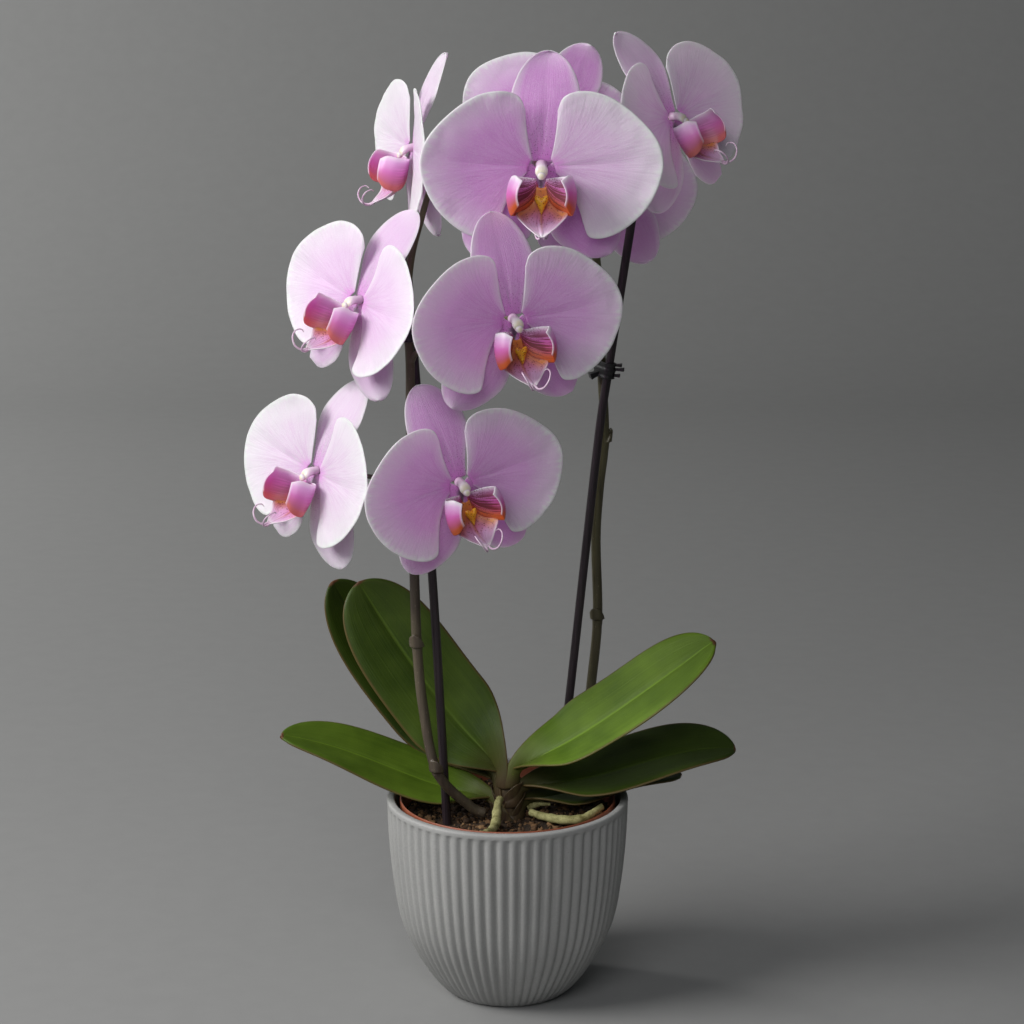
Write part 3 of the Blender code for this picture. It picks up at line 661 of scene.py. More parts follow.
def leaf_finish(name, dark, light, rib, edge):
    """Waxy leaf with a pale midrib, faint long veins, a coloured margin and a dry tip."""
    finish, tree, shader, place, uv = new_finish(name)
    out, across = along_and_across(tree, uv)
    side = from_middle(tree, across)
    cloud = grain(tree, place, 28.0)
    long_veins = grain(tree, uv, 1.0, (1.6, 46.0, 1.0), 4.0, 0.6, 0.2)
    flecks = grain(tree, place, 420.0)
    tone = blend(tree, cloud, long_veins, 0.75, 0.35)
    ground = ramp(tree, tone, [(0.38, dark), (0.72, light)])
    ground = mix(tree, ramp(tree, side, [(0.0, 0.75), (0.055, 0.0)]), ground, rib)
    ground = mix(tree, ramp(tree, out, [(0.05, 0.9), (0.22, 0.0)]), ground, (0.085, 0.052, 0.030))
    ground = mix(tree, ramp(tree, side, [(0.93, 0.0), (0.985, 0.75)]), ground, edge)
    tip = plus(tree, out, sway(tree, flecks, 0.03))
    ground = mix(tree, ramp(tree, tip, [(0.930, 0.0), (0.965, 1.0)]), ground, (0.11, 0.045, 0.018))
    freckles = times(tree, spots(tree, place, 260.0, 0.05, 0.10), 0.35)
    ground = mix(tree, freckles, ground, tinted(light, 1.6))
    height = blend(tree, long_veins, flecks, 1.0, 0.25)
    gloss = fit(tree, blend(tree, cloud, flecks, 0.6, 0.4), 0.36, 0.52, 0.3, 0.7)
    connect(tree, shader, ground, gloss, height, 0.35, 0.0006, specular_ior_level=0.24)
    return finish


def stem_finish(name, brown, green, streak):
    """Flower stem skin: long streaks and small pale pores on brown and olive, greener towards the flowers."""
    finish, tree, shader, place, _ = new_finish(name)
    height_up = add_node(tree, "SeparateXYZ", {0: place}).outputs[2]
    long_grain = grain(tree, place, 420.0, (1, 1, 0.06), 4.0, 0.6)
    cloud = grain(tree, place, 60.0, (1, 1, 0.4))
    ground = ramp(tree, blend(tree, long_grain, cloud, 0.5, 0.5), [(0.38, brown), (0.62, green)])
    upward = fit(tree, height_up, 0.0, 1.0, 0.30, 0.46)
    ground = mix(tree, times(tree, upward, 0.6), ground, (0.16, 0.17, 0.06))
    pores = times(tree, spots(tree, place, 520.0, 0.09, 0.16, (1, 1, 0.5)), 0.6)
    ground = mix(tree, pores, ground, streak)
    connect(tree, shader, ground, 0.42, long_grain, 0.35, 0.0003)
    return finish


def stake_finish():
    """Dark plastic with long streaks and a faint bloom."""
    finish, tree, shader, place, _ = new_finish("stake_skin")
    long_grain = grain(tree, place, 900.0, (1, 1, 0.012), 4.0, 0.6)
    cloud = grain(tree, place, 45.0, (1, 1, 0.3))
    ground = ramp(tree, blend(tree, long_grain, cloud, 0.6, 0.4),
                  [(0.35, (0.010, 0.006, 0.009)), (0.65, (0.045, 0.030, 0.036))])
    connect(tree, shader, ground, 0.42, long_grain, 0.45, 0.0003)
    return finish


def speckled_finish(name, low, high, scale, roughness, bump, stretch=(1, 1, 1), distance=0.0004):
    """A mottled matt or satin skin: two tones over two scales of grain, with bump to match."""
    finish, tree, shader, place, _ = new_finish(name)
    coarse = grain(tree, place, scale, stretch, 4.0, 0.6)
    fine = grain(tree, place, scale * 7, stretch, 3.0, 0.6)
    both = blend(tree, coarse, fine, 0.65, 0.35)
    ground = ramp(tree, both, [(0.36, low), (0.64, high)])
    gloss = fit(tree, both, *roughness, 0.3, 0.7)
    connect(tree, shader, ground, gloss, both, bump, distance)
    return finish


def glaze_finish(colour):
    """Matt stoneware: a fine sandy grain, rare dark and pale flecks, and faint clouding."""
    finish, tree, shader, place, _ = new_finish("stoneware")
    cloud = grain(tree, place, 30.0, (1, 1, 0.35), 4.0)
    sand = grain(tree, place, 900.0, (1, 1, 1), 3.0, 0.65)
    ground = ramp(tree, cloud, [(0.35, tinted(colour, 0.90)), (0.65, tinted(colour, 1.06))])
    pits = times(tree, ramp(tree, sand, [(0.42, 1.0), (0.58, 0.0)]), 0.18)
    ground = mix(tree, pits, ground, tinted(colour, 0.62))
    dark = times(tree, spots(tree, place, 330.0, 0.05, 0.085), 0.55)
    ground = mix(tree, dark, ground, tinted(colour, 0.40))
    pale = times(tree, spots(tree, place, 410.0, 0.045, 0.08), 0.4)
    ground = mix(tree, pale, ground, tinted(colour, 1.5))
    gloss = fit(tree, sand, 0.50, 0.72)
    connect(tree, shader, ground, gloss, sand, 0.22, 0.0004)
    return finish


def paper_finish():
    """Pale studio paper with a faint fibre."""
    finish, tree, shader, place, _ = new_finish("studio_paper")
    fibre = grain(tree, place, 60.0, (1, 1, 1), 4.0)
    ground = ramp(tree, fibre, [(0.3, (0.275, 0.276, 0.273)), (0.7, (0.285, 0.286, 0.283))])
    connect(tree, shader, ground, 0.9, fibre, 0.01, 0.001)
    return finish


def tint_finish(name, stops, scale):
    """Bark and fibre: each scrap's own tint, with a woody grain over it."""
    finish, tree, shader, place, _ = new_finish(name)
    tint = add_node(tree, "Attribute", attribute_name="tint").outputs["Fac"]
    wood = grain(tree, place, scale, (1, 1, 2.5), 4.0, 0.65)
    tone = blend(tree, tint, wood, 0.7, 0.3)
    connect(tree, shader, ramp(tree, tone, stops), 0.9, wood, 0.6, 0.0006)
    return finish


# ---------------------------------------------------------------- properties
def length_property(name, description, default):
    return FloatProperty(name=name, description=description, default=default, unit="LENGTH")


def colour_property(name, description, default):
    return FloatVectorProperty(name=name, description=description, default=default, subtype="COLOR",
                               min=0, max=1)


class OrchidSizes(bpy.types.PropertyGroup):
    rim_radius: length_property("Pot rim", "Outer radius of the cover pot's rim", 0.067)
    pot_height: length_property("Pot height", "Height of the cover pot", 0.112)
    pot_wall: length_property("Pot wall", "Thickness of the cover pot's wall", 0.0045)
    ribs: IntProperty(name="Ribs", description="Upright ribs around the cover pot", default=64, min=12)
    rib_depth: FloatProperty(name="Rib depth", description="Share of the radius that each groove is cut in",
                             default=0.034, subtype="FACTOR", min=0.0, max=0.1)
    mix_top: length_property("Mix top", "Height of the potting mix", 0.0995)
    chips: IntProperty(name="Bark chips", description="Scraps of bark on the mix", default=420, min=0)
    crumbs: IntProperty(name="Crumbs", description="Crumbs and fibres on the mix", default=1500, min=0)
    leaf_wall: length_property("Leaf", "Thickness of a leaf at its midrib", 0.0024)
    petal_wall: length_property("Petal", "Thickness of a petal", 0.0008)
    stem_radius: length_property("Stem", "Radius of a flower stem near its foot", 0.0028)
    stalk_radius: length_property("Stalk", "Radius of a flower's stalk", 0.0014)
    stake_radius: length_property("Stake", "Radius of a stake", 0.0024)


class OrchidColours(bpy.types.PropertyGroup):
    petal: colour_property("Petal", "Deepest lilac of the petals", (0.72, 0.36, 0.74))
    vein: colour_property("Vein", "Magenta of the veins and petal bases", (0.56, 0.17, 0.54))
    margin: colour_property("Margin", "Pale edge of the petals", (0.90, 0.84, 0.91))
    lip: colour_property("Lip", "Magenta of the lip", (0.52, 0.12, 0.42))
    leaf_dark: colour_property("Leaf shade", "Darker green of the leaves", (0.040, 0.076, 0.005))
    leaf_light: colour_property("Leaf light", "Lighter green of the leaves", (0.090, 0.152, 0.012))
    pot: colour_property("Pot", "Grey of the stoneware pot", (0.38, 0.38, 0.37))
    terracotta: colour_property("Nursery pot", "Red-brown of the nursery pot", (0.30, 0.085, 0.04))


# ---------------------------------------------------------------- pieces
POT_FOOT = ((0.012, 0.0), (0.0310, 0.0), (0.0332, 0.0), (0.0340, 0.0006))
POT_OUTLINE = ((0.0340, 0.0), (0.0400, 0.0058), (0.0470, 0.0155), (0.0560, 0.0320), (0.0615, 0.0500),
               (0.0653, 0.0800))
# the smooth lip above the ribs: how far in from the rim, how far below the top
POT_LIP = ((0.0003, 0.0042), (0.0001, 0.0033), (0.0, 0.0026), (0.0, 0.0018), (0.0, 0.0010), (0.0006, 0.0002),
           (0.0016, 0.0))
POT_FLOOR = ((0.0330, 0.0085), (0.0290, 0.0062), (0.010, 0.006))
RIBS_FROM = 0.0012
PLAIN_LIP = 0.0038


class ORCHID_OT_cover_pot(bpy.types.Operator):
    """Model the ribbed stoneware cover pot"""

    bl_idname = "orchid.cover_pot"
    bl_label = "Cover pot"

    def execute(self, context):
        size, colour = context.scene.orchid_sizes, context.scene.orchid_colours
        top, rim, inner = size.pot_height, size.rim_radius, size.rim_radius - size.pot_wall
        route = [(r, z, 0) for r, z in (*POT_OUTLINE, (rim, top))]
        side = [through(route, 0.015 + 0.965 * i / 25) for i in range(26)]
        rings = [*POT_FOOT, *((p.x, p.y) for p in side if p.y < top - 0.0056)]
        rings += [(rim - within, top - below) for within, below in POT_LIP]
        rings += [(inner + 0.0014, top), (inner + 0.0004, top - 0.0003), (inner, top - 0.0014)]
        rings += [(p.x - size.pot_wall, p.y + 0.001) for p in reversed(side[4:]) if p.y < top - 0.006]
        rings += POT_FLOOR
        pot = turned("cover_pot_stoneware", rings, 4 * size.ribs)
        step = math.tau / (4 * size.ribs)

        def column(vert):
            return round(math.atan2(vert.co.y, vert.co.x) / step) % 4

        def on_ribs(vert):
            inside = math.hypot(vert.co.x, vert.co.y) < profile_radius(vert.co.z) - 0.0025
            return RIBS_FROM < vert.co.z < top - PLAIN_LIP and not inside

        def profile_radius(height):
            below = [p for p in side if p.y <= height] or [side[0]]
            above = [p for p in side if p.y > height] or [side[-1]]
            share = (height - below[-1].y) / max(above[0].y - below[-1].y, 1e-6)
            return below[-1].x + (above[0].x - below[-1].x) * min(max(share, 0), 1)

        pull(pot, lambda v: on_ribs(v) and column(v) == 0, 1 - size.rib_depth)
        pull(pot, lambda v: on_ribs(v) and column(v) == 2, 1.004)
        subdivide_smooth(pot)
        close_ends(pot)
        dress(pot, ["cover_pot"], [glaze_finish(tuple(colour.pot))])
        return {"FINISHED"}


class ORCHID_OT_grow_pot(bpy.types.Operator):
    """Model the thin nursery pot with its rolled rim"""

    bl_idname = "orchid.grow_pot"
    bl_label = "Nursery pot"

    def execute(self, context):
        colour = context.scene.orchid_colours
        low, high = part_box("grow_pot")
        rim, top, foot = high[0], high[2], low[2]
        rings = [(0.012, foot), (0.0330, foot), (0.0345, foot + 0.001), (rim - 0.0018, top - 0.0082),
                 (rim - 0.0006, top - 0.0078), (rim - 0.0001, top - 0.0070), (rim, top - 0.0012),
                 (rim - 0.0004, top - 0.0002), (rim - 0.0010, top - 0.0002), (rim - 0.0014, top - 0.0012),
                 (rim - 0.0018, top - 0.0070), (rim - 0.0031, top - 0.0084), (0.0331, foot + 0.0024),
                 (0.0310, foot + 0.0015), (0.010, foot + 0.0014)]
        pot = turned("grow_pot_shell", rings, 96)
        subdivide_smooth(pot)
        close_ends(pot)
        red = tuple(colour.terracotta)
        finish = speckled_finish("nursery_plastic", tinted(red, 0.8), tinted(red, 1.15), 90.0,
                                 (0.38, 0.55), 0.12)
        dress(pot, ["grow_pot"], [finish])
        return {"FINISHED"}


def clear_of_stems(x, y, room):
    """Whether a spot on the mix is clear of the stakes and the crown."""
    spots_taken = [(p[1][0], p[1][1]) for p in STAKES.values()] + [(0.0, 0.0)]
    return all(math.hypot(x - sx, y - sy) > room for sx, sy in spots_taken)


def mix_height(x, y, top):
    rough = noise.noise(Vector((x, y, 0.3)) * 90) * 0.0011 + noise.noise(Vector((x, y, 0.7)) * 260) * 0.0007
    return top - 0.0003 + rough + 0.0034 * smooth(0.040, 0.056, math.hypot(x, y))


class ORCHID_OT_potting_mix(bpy.types.Operator):
    """Model the potting mix: an uneven bed, bark chips, crumbs and fibres"""

    bl_idname = "orchid.potting_mix"
    bl_label = "Potting mix"

    def execute(self, context):
        size = context.scene.orchid_sizes
        low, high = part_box("potting_mix")
        edge = high[0] + 0.0012

        def bed(s, t):
            x, y = 2 * s - 1, t
            disc = Vector((x * math.sqrt(1 - y * y / 2), y * math.sqrt(1 - x * x / 2), 0)) * edge
            return Vector((disc.x, disc.y, mix_height(disc.x, disc.y, size.mix_top)))

        heap = sheet("potting_mix_bed", bed, 90, 90, Vector((0, 0, 1)))
        edit(heap)
        bpy.ops.mesh.region_to_loop()
        bpy.ops.mesh.extrude_edges_move(TRANSFORM_OT_translate={"value": (0, 0, -0.080)})
        bpy.ops.transform.resize(value=(0.62, 0.62, 0), center_override=(0, 0, low[2]))
        bpy.ops.mesh.edge_face_add()
        bpy.ops.mesh.select_all(action="SELECT")
        bpy.ops.mesh.normals_make_consistent(inside=False)
        object_mode()
        finish = speckled_finish("damp_coir", (0.010, 0.006, 0.003), (0.060, 0.032, 0.014), 260.0,
                                 (0.85, 1.0), 0.9, distance=0.0012)
        dress(heap, ["potting_mix"], [finish])

        deselect()
        bpy.ops.mesh.primitive_cube_add(size=1)
        chip = start("bark_pattern")
        edit(chip)
        bpy.ops.mesh.subdivide(number_cuts=1)
        object_mode()
        for vert in chip.data.vertices:
            vert.co *= 0.82 + 0.36 * noise.noise(vert.co * 2.3 + Vector((3, 1, 4)))
        deselect()
        bpy.ops.mesh.primitive_ico_sphere_add(subdivisions=1, radius=0.5)
        crumb = start("crumb_pattern")
        for vert in crumb.data.vertices:
            vert.co *= 0.85 + 0.5 * noise.noise(vert.co * 3.1 + Vector((7, 2, 1)))
        draw = random.Random(11)
        where = (edge, size.mix_top)
        bark = self.scatter(chip, draw, size.chips, *where, (0.0020, 0.0050), (1.0, 0.72, 0.55))
        crumbs = self.scatter(crumb, draw, size.crumbs, *where, (0.0008, 0.0026), (1.0, 0.85, 0.8))
        bark = join("potting_mix_bark", bark)
        crumbs = join("potting_mix_crumbs", crumbs)
        for pattern in (chip, crumb):
            bpy.data.objects.remove(pattern)
        dress(bark, (), [tint_finish("bark", [
            (0.15, (0.016, 0.008, 0.003)), (0.45, (0.070, 0.034, 0.013)), (0.72, (0.160, 0.084, 0.034)),
            (0.94, (0.30, 0.180, 0.080))], 500.0)])
        dress(crumbs, (), [tint_finish("crumbs", [
            (0.15, (0.012, 0.007, 0.003)), (0.5, (0.075, 0.038, 0.015)), (0.75, (0.190, 0.104, 0.042)),
            (0.95, (0.38, 0.24, 0.11))], 700.0)])
        return {"FINISHED"}

    def scatter(self, pattern, draw, count, edge, top, spread, shape):
        """Copies of a scrap, each with its own mesh, size, lie and tint, laid over the bed."""
        made = []
        while len(made) < count:
            out, turn = edge * 0.985 * math.sqrt(draw.random()), draw.uniform(0, math.tau)
            x, y = out * math.cos(turn), out * math.sin(turn)
            length = draw.uniform(*spread)
            spin = (draw.gauss(0, 0.35), draw.gauss(0, 0.35), draw.uniform(0, math.tau))
            tint, lift = draw.random(), draw.uniform(-0.1, 0.35)
            if not clear_of_stems(x, y, 0.0035 + length * 0.6):
                continue
            scrap = pattern.copy()
            scrap.data = pattern.data.copy()
            bpy.context.scene.collection.objects.link(scrap)
            scrap.data.transform(
                Matrix.Translation((x, y, mix_height(x, y, top) + length * shape[2] * lift))
                @ Matrix.Rotation(spin[2], 4, "Z") @ Matrix.Rotation(spin[0], 4, "X")
                @ Matrix.Rotation(spin[1], 4, "Y")
                @ Matrix.Diagonal((length * shape[0], length * shape[1], length * shape[2], 1))
            )
            layer = scrap.data.attributes.new("tint", "FLOAT", "POINT")
            layer.data.foreach_set("value", [tint] * len(scrap.data.vertices))
            made.append(scrap)
        return made


CROWN_RINGS = ((0.0030, 0.0850), (0.0060, 0.0900), (0.0072, 0.0985), (0.0070, 0.1040), (0.0060, 0.1090),
               (0.0055, 0.1130), (0.0050, 0.1170), (0.0042, 0.1215), (0.0032, 0.1245))
# height and direction in degrees of each sheath
CROWN_SHEATHS = ((0.1010, 200), (0.1050, 20), (0.1085, 150), (0.1120, -30), (0.1150, 95))


class ORCHID_OT_crown(bpy.types.Operator):
    """Model the crown with the sheaths that the leaves spring from"""

    bl_idname = "orchid.crown"
    bl_label = "Crown"

    def execute(self, context):
        _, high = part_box("crown")
        core = turned("crown_core", [*CROWN_RINGS, (0.0020, high[2] - 0.0002)], 28)
        for vert in core.data.vertices:
            wave = 1 + 0.06 * math.sin(5 * math.atan2(vert.co.y, vert.co.x) + 380 * vert.co.z)
            vert.co.x *= wave
            vert.co.y *= wave
        subdivide_smooth(core)
        close_ends(core)
        sheaths = []
        for number, (height, turn) in enumerate(CROWN_SHEATHS):
            def place(s, t, height=height, turn=turn, number=number):
                angle = math.radians(turn + 95 * t * (1 - 0.75 * s**1.6))
                radius = 0.0084 - 0.0006 * number + 0.0022 * s**2
                return ring_point(radius, angle, height - 0.003 + 0.0115 * s)
            scale = sheet(f"crown_sheath_{number}", place, 10, 14)
            wall(scale, 0.0007, 0.4)
            subdivide_smooth(scale)
            sheaths.append(scale)
        crown = join("crown_with_sheaths", [core] + sheaths)
        finish = speckled_finish("crown_skin", (0.040, 0.020, 0.018), (0.115, 0.085, 0.035), 160.0,
                                 (0.40, 0.6), 0.5, (1, 1, 0.3))
        dress(crown, ["crown"], [finish])
        return {"FINISHED"}


# how much of a leaf clasps the crown, and how far round to either side, in degrees
SHEATH_SHARE = 0.24
SHEATH_SPREAD = 112


def leaf_place(curve, half_width, roll, fold, blunt, phase):
    """Where a leaf's surface is: a sheath that clasps the crown, opening into an arching, folded blade."""
    foot = Vector(curve[0])
    out_turn = math.atan2(curve[1][1] - curve[0][1], curve[1][0] - curve[0][0])
    clasp = 0.0056 + 0.0024 * (1 - smooth(0.108, 0.130, foot.z))

    def place(s, t):
        run = (s - 0.10) / 0.90
        blade = max(run, 0.0)
        blade = 0.002 + 0.998 * math.sin(blade * math.pi / 2) ** 0.95
        middle = bezier(curve, blade)
        along = (bezier(curve, min(blade + 0.01, 1)) - bezier(curve, max(blade - 0.01, 0))).normalized()
        side = Matrix.Rotation(math.radians(roll), 3, along) @ along.cross((0, 0, 1)).normalized()
        up = side.cross(along)
        base = 0.46 + 0.54 * smooth(0.0, 0.42, blade)
        tip = math.sqrt(max(1 - max(2 * blade - 1, 0.0) ** blunt, 0.0))
        width = half_width * base * tip
        rise = fold + 0.55 * (1 - smooth(0.0, 0.30, blade))
        groove = 0.0009 * ridge(t, 0.07) * smooth(0.0, 0.1, blade) * (1 - smooth(0.85, 1.0, blade))
        ripple = 0.0008 * math.sin(9 * blade + phase) * abs(t) ** 2 * smooth(0.1, 0.5, blade)
        lip = -0.0007 * smooth(0.8, 1.0, abs(t))
        spot = middle + side * (t * width) + up * (rise * width * abs(t) ** 1.35 - groove + ripple + lip)
        if s > SHEATH_SHARE:
            return spot
        down = 1 - s / SHEATH_SHARE
        angle = out_turn + math.radians(SHEATH_SPREAD) * t * (0.75 + 0.25 * down)
        height = foot.z - 0.0005 - 0.0120 * down + 0.0035 * (1 - down) * abs(t)
        sheath = ring_point(clasp + 0.0012 * (1 - down), angle, height)
        return sheath.lerp(spot, smooth(0.02, SHEATH_SHARE, s))
    return place


class ORCHID_OT_leaves(bpy.types.Operator):
    """Model the thick strap leaves"""

    bl_idname = "orchid.leaves"
    bl_label = "Leaves"

    def execute(self, context):
        size, colour = context.scene.orchid_sizes, context.scene.orchid_colours
        dark, light = tuple(colour.leaf_dark), tuple(colour.leaf_light)
        for number, (name, (*shape, tone)) in enumerate(LEAVES.items()):
            # painted light and shade: the tone darkens the leaves that lie in shade and lightens the high
            # right leaf for its reflection
            upper = leaf_finish(name + "_upper", tinted(dark, tone), tinted(light, tone),
                                tinted(light, 1.35 * tone), (0.12, 0.075, 0.028))
            under = leaf_finish(name + "_under", tinted(dark, 1.3 * tone), tinted(light, 1.1 * tone),
                                (0.14, 0.13, 0.05), (0.18, 0.10, 0.06))
            piece = sheet(name + "_blade", leaf_place(*shape, phase=1.7 * number), 56, 24, Vector((0, 0, 1)))
            wall(piece, size.leaf_wall, 0.55, 1)
            subdivide_smooth(piece)
            dress(piece, [name], [upper, under])
        return {"FINISHED"}


class ORCHID_OT_roots(bpy.types.Operator):
    """Model the air roots"""

    bl_idname = "orchid.roots"
    bl_label = "Air roots"

    def execute(self, context):
        skin = speckled_finish("root_skin", (0.13, 0.12, 0.030), (0.46, 0.44, 0.20), 260.0, (0.7, 0.9), 0.5)
        for number, (name, (route, radii)) in enumerate(ROOTS.items()):
            def swell(place, share, number=number):
                knots = noise.noise(place * 260 + Vector((number, 0, 0)))
                return 1 + 0.14 * knots + 0.06 * math.sin(40 * share)
            piece = tube(name + "_skin", route, radii, 60, 14, swell)
            subdivide_smooth(piece)
            dress(piece, [name], [skin])
        return {"FINISHED"}


class ORCHID_OT_stakes(bpy.types.Operator):
    """Model the two dark stakes"""

    bl_idname = "orchid.stakes"
    bl_label = "Stakes"

    def execute(self, context):
        size = context.scene.orchid_sizes
        finish = stake_finish()
        for name, route in STAKES.items():
            piece = tube(name + "_rod", route, [size.stake_radius] * 2, 12 * (len(route) - 1), 20,
                         lambda place, share: 1.0 - 0.5 * smooth(0.992, 1.0, share))
            dress(piece, [name], [finish])
        return {"FINISHED"}


# each stem's brown, its green, and the colour of its pores
STEM_TONES = {
    "left": ((0.055, 0.038, 0.030), (0.105, 0.085, 0.055), (0.22, 0.18, 0.13)),
    "right": ((0.050, 0.042, 0.020), (0.105, 0.095, 0.045), (0.20, 0.17, 0.10)),
}


def stalk_route(origin, flower):
    """A flower's stalk: out of the stem, round, and into the back of the flower."""
    matrix = flower_matrix(*flower)
    face = (matrix.to_3x3() @ Vector((0, 0, 1))).normalized()
    end = matrix @ Vector((0, 0, -0.0002))
    reach = (end - origin).length
    out = (end - origin).normalized() * 0.45 + Vector((0, 0, 0.30))
    hub = (origin + out * reach * 0.42, end - face * reach * 0.40)
    return [bezier([origin, *hub, end], i / 6) for i in range(7)]


class ORCHID_OT_flower_stems(bpy.types.Operator):
    """Model the two living stems, with their joints, scales and flower stalks, each as one skin"""

    bl_idname = "orchid.flower_stems"
    bl_label = "Flower stems"

    def execute(self, context):
        size = context.scene.orchid_sizes
        for name, route in STEMS.items():
            def swell(place, share, name=name):
                return 1 + sum(0.13 * ridge(place.z - z, 0.0017) for z in STEM_JOINTS[name])
            radii = [size.stem_radius * k for k in (1.0, 1.0, 0.96, 0.85, 0.5)]
            parts = [tube("stem_part", route, radii, 180, 16, swell)]
            parts += [self.scale(route, height, size.stem_radius) for height in STEM_JOINTS[name]]
            for *pose, owner, share in FLOWERS.values():
                if owner == name:
                    origin = through(route, share)
                    stalk = stalk_route(origin, pose)
                    radii = [size.stalk_radius * k for k in (1.25, 0.95, 1.0, 1.15)]
                    parts.append(tube("stalk_part", stalk, radii, 40, 12))
                    parts.append(blob("stalk_foot", self.foot(origin, stalk[1], size.stalk_radius), 12, 8))
            stem = join(f"flower_stem_{name}_skin", parts)
            apply_modifier(stem, "REMESH", mode="VOXEL", voxel_size=0.00045)
            apply_modifier(stem, "SMOOTH", factor=0.5, iterations=3)
            finish = stem_finish("stem_skin_" + name, *STEM_TONES[name])
            dress(stem, ["flower_stem_" + name], [finish])
        return {"FINISHED"}

    def foot(self, origin, ahead, radius):
        """The swelling under a stalk where it leaves the stem."""
        along = (ahead - origin).normalized()
        def place(x, y, z):
            spin = along.to_track_quat("Z", "Y")
            return origin + along * 0.0012 + spin @ (radius * Vector((1.7 * x, 1.7 * y, 2.2 * z)))
        return place

    def scale(self, route, height, radius):
        """A small pointed scale that clasps the stem above a joint."""
        nearest = min((through(route, i / 400) for i in range(401)), key=lambda p: abs(p.z - height))
        turn = 0.6 if height > 0.25 else -1.9

        def place(s, t):
            angle = turn + 1.75 * t * (1 - s) ** 0.6
            out = radius * 1.14 + 0.0005 + 0.0007 * s
            return nearest + ring_point(out, angle, 0.0002 + 0.0075 * s)
        piece = sheet("stem_scale", place, 8, 12)
        apply_modifier(piece, "SOLIDIFY", thickness=0.0011, offset=0.0)
        return piece


class ORCHID_OT_clips(bpy.types.Operator):
    """Model the plastic clips that hold each stem to its stake"""

    bl_idname = "orchid.clips"
    bl_label = "Stem clips"

    def execute(self, context):
        finish = speckled_finish("clip_plastic", (0.006, 0.006, 0.006), (0.016, 0.016, 0.017), 300.0,
                                 (0.32, 0.5), 0.2)
        for name, (stake, stem, height) in CLIPS.items():
            stake_at, along = self.at(STAKES[stake], height)
            stem_at, _ = self.at(STEMS[stem], height)
            across = stem_at - stake_at
            across -= along * across.dot(along)
            spread = across.length
            across.normalize()
            to_world = Matrix((across, along.cross(across), along)).transposed().to_4x4()
            to_world.translation = stake_at
            parts = [self.strip(spread)]
            right = (to_world.to_3x3().inverted() @ Vector((1, -0.2, 0))).normalized()
            for z, reach in ((0.0030, 0.0034), (0.0006, 0.0050), (-0.0028, 0.0032)):
                parts.append(self.finger(Vector((0, 0, z)) + right * 0.0036, right, reach, 0.0018))
            left = (to_world.to_3x3().inverted() @ Vector((-1, -0.25, -0.35))).normalized()
            foot = Vector((spread * 0.6, 0, -0.0012)) + left * 0.0030
            parts.append(self.finger(foot, left, 0.0056, 0.0030))
            clip = join(name + "_moulding", parts)
            clip.data.transform(to_world)
            dress(clip, [name], [finish])
        return {"FINISHED"}

    def at(self, route, height):
        share = min((i / 800 for i in range(801)), key=lambda k: abs(through(route, k).z - height))
        along = through(route, share + 0.01) - through(route, share - 0.01)
        return through(route, share), along.normalized()

    def strip(self, spread):
        """A band round the stake and the stem."""
        def place(s, t):
            angle = math.tau * s
            centre = spread if math.cos(angle) > 0 else 0.0
            radius = (0.0044 if centre else 0.0038) + 0.0003 * math.cos(6 * t)
            return Vector((centre + radius * math.cos(angle), radius * math.sin(angle), 0.0042 * t))
        band = sheet("clip_band", place, 48, 8)
        edit(band)
        bpy.ops.mesh.normals_make_consistent(inside=False)
        object_mode()
        apply_modifier(band, "SOLIDIFY", thickness=0.0010, offset=-1.0)
        apply_modifier(band, "BEVEL", width=0.0002, segments=2, limit_method="ANGLE")
        return band

    def finger(self, foot, way, reach, thick):
        """A flat rounded prong that stands out of the band, thicker at its end."""
        deselect()
        bpy.ops.mesh.primitive_cube_add(size=1)
        bar = start("clip_finger")
        edit(bar)
        bpy.ops.mesh.subdivide(number_cuts=2)
        object_mode()
        spin = way.to_track_quat("X", "Z")
        for vert in bar.data.vertices:
            x = vert.co.x + 0.5
            swell = thick * (0.8 + 0.35 * x * x)
            vert.co = foot + spin @ Vector((x * reach, vert.co.y * 1.6 * swell, vert.co.z * swell))
        apply_modifier(bar, "BEVEL", width=0.0003, segments=2, limit_method="ANGLE", angle_limit=0.6)
        return bar


# ---------------------------------------------------------------- flowers
def petal_place(hand, wave):
    """A petal fans out of a narrow claw: each vein bends from the claw to a point on the edge."""
    def place(s, t):
        share = (t + 1) / 2
        claw, edge = through(PETAL_CLAW, share), through(PETAL_EDGE, share)
        bend = through(PETAL_MIDDLE, share)
        s = 0.02 + 0.98 * s
        flat = claw * (1 - s) ** 2 + bend * 2 * s * (1 - s) + edge * s**2
        reach = math.hypot(flat.x, flat.y) / 62
        lift = 1.6 + 5.6 * reach + 2.6 * reach**2 + 1.2 * math.sin(3 * t) * s**2 - 1.2 * abs(t) ** 3 * s
        lift -= 0.55 * ridge(t, 0.09) * 4 * s * (1 - s)
        lift += 0.7 * math.sin(3.3 * t + 4 * s + 2 * wave) * s**2
        crinkle = noise.noise(Vector((flat.x * 0.11, flat.y * 0.11, wave)))
        lift += (0.7 * crinkle + 0.14 * math.sin(46 * t + 9 * crinkle)) * smooth(0.62, 1.0, s)
        return Vector((hand * flat.x, flat.y, lift)) * MM
    return place


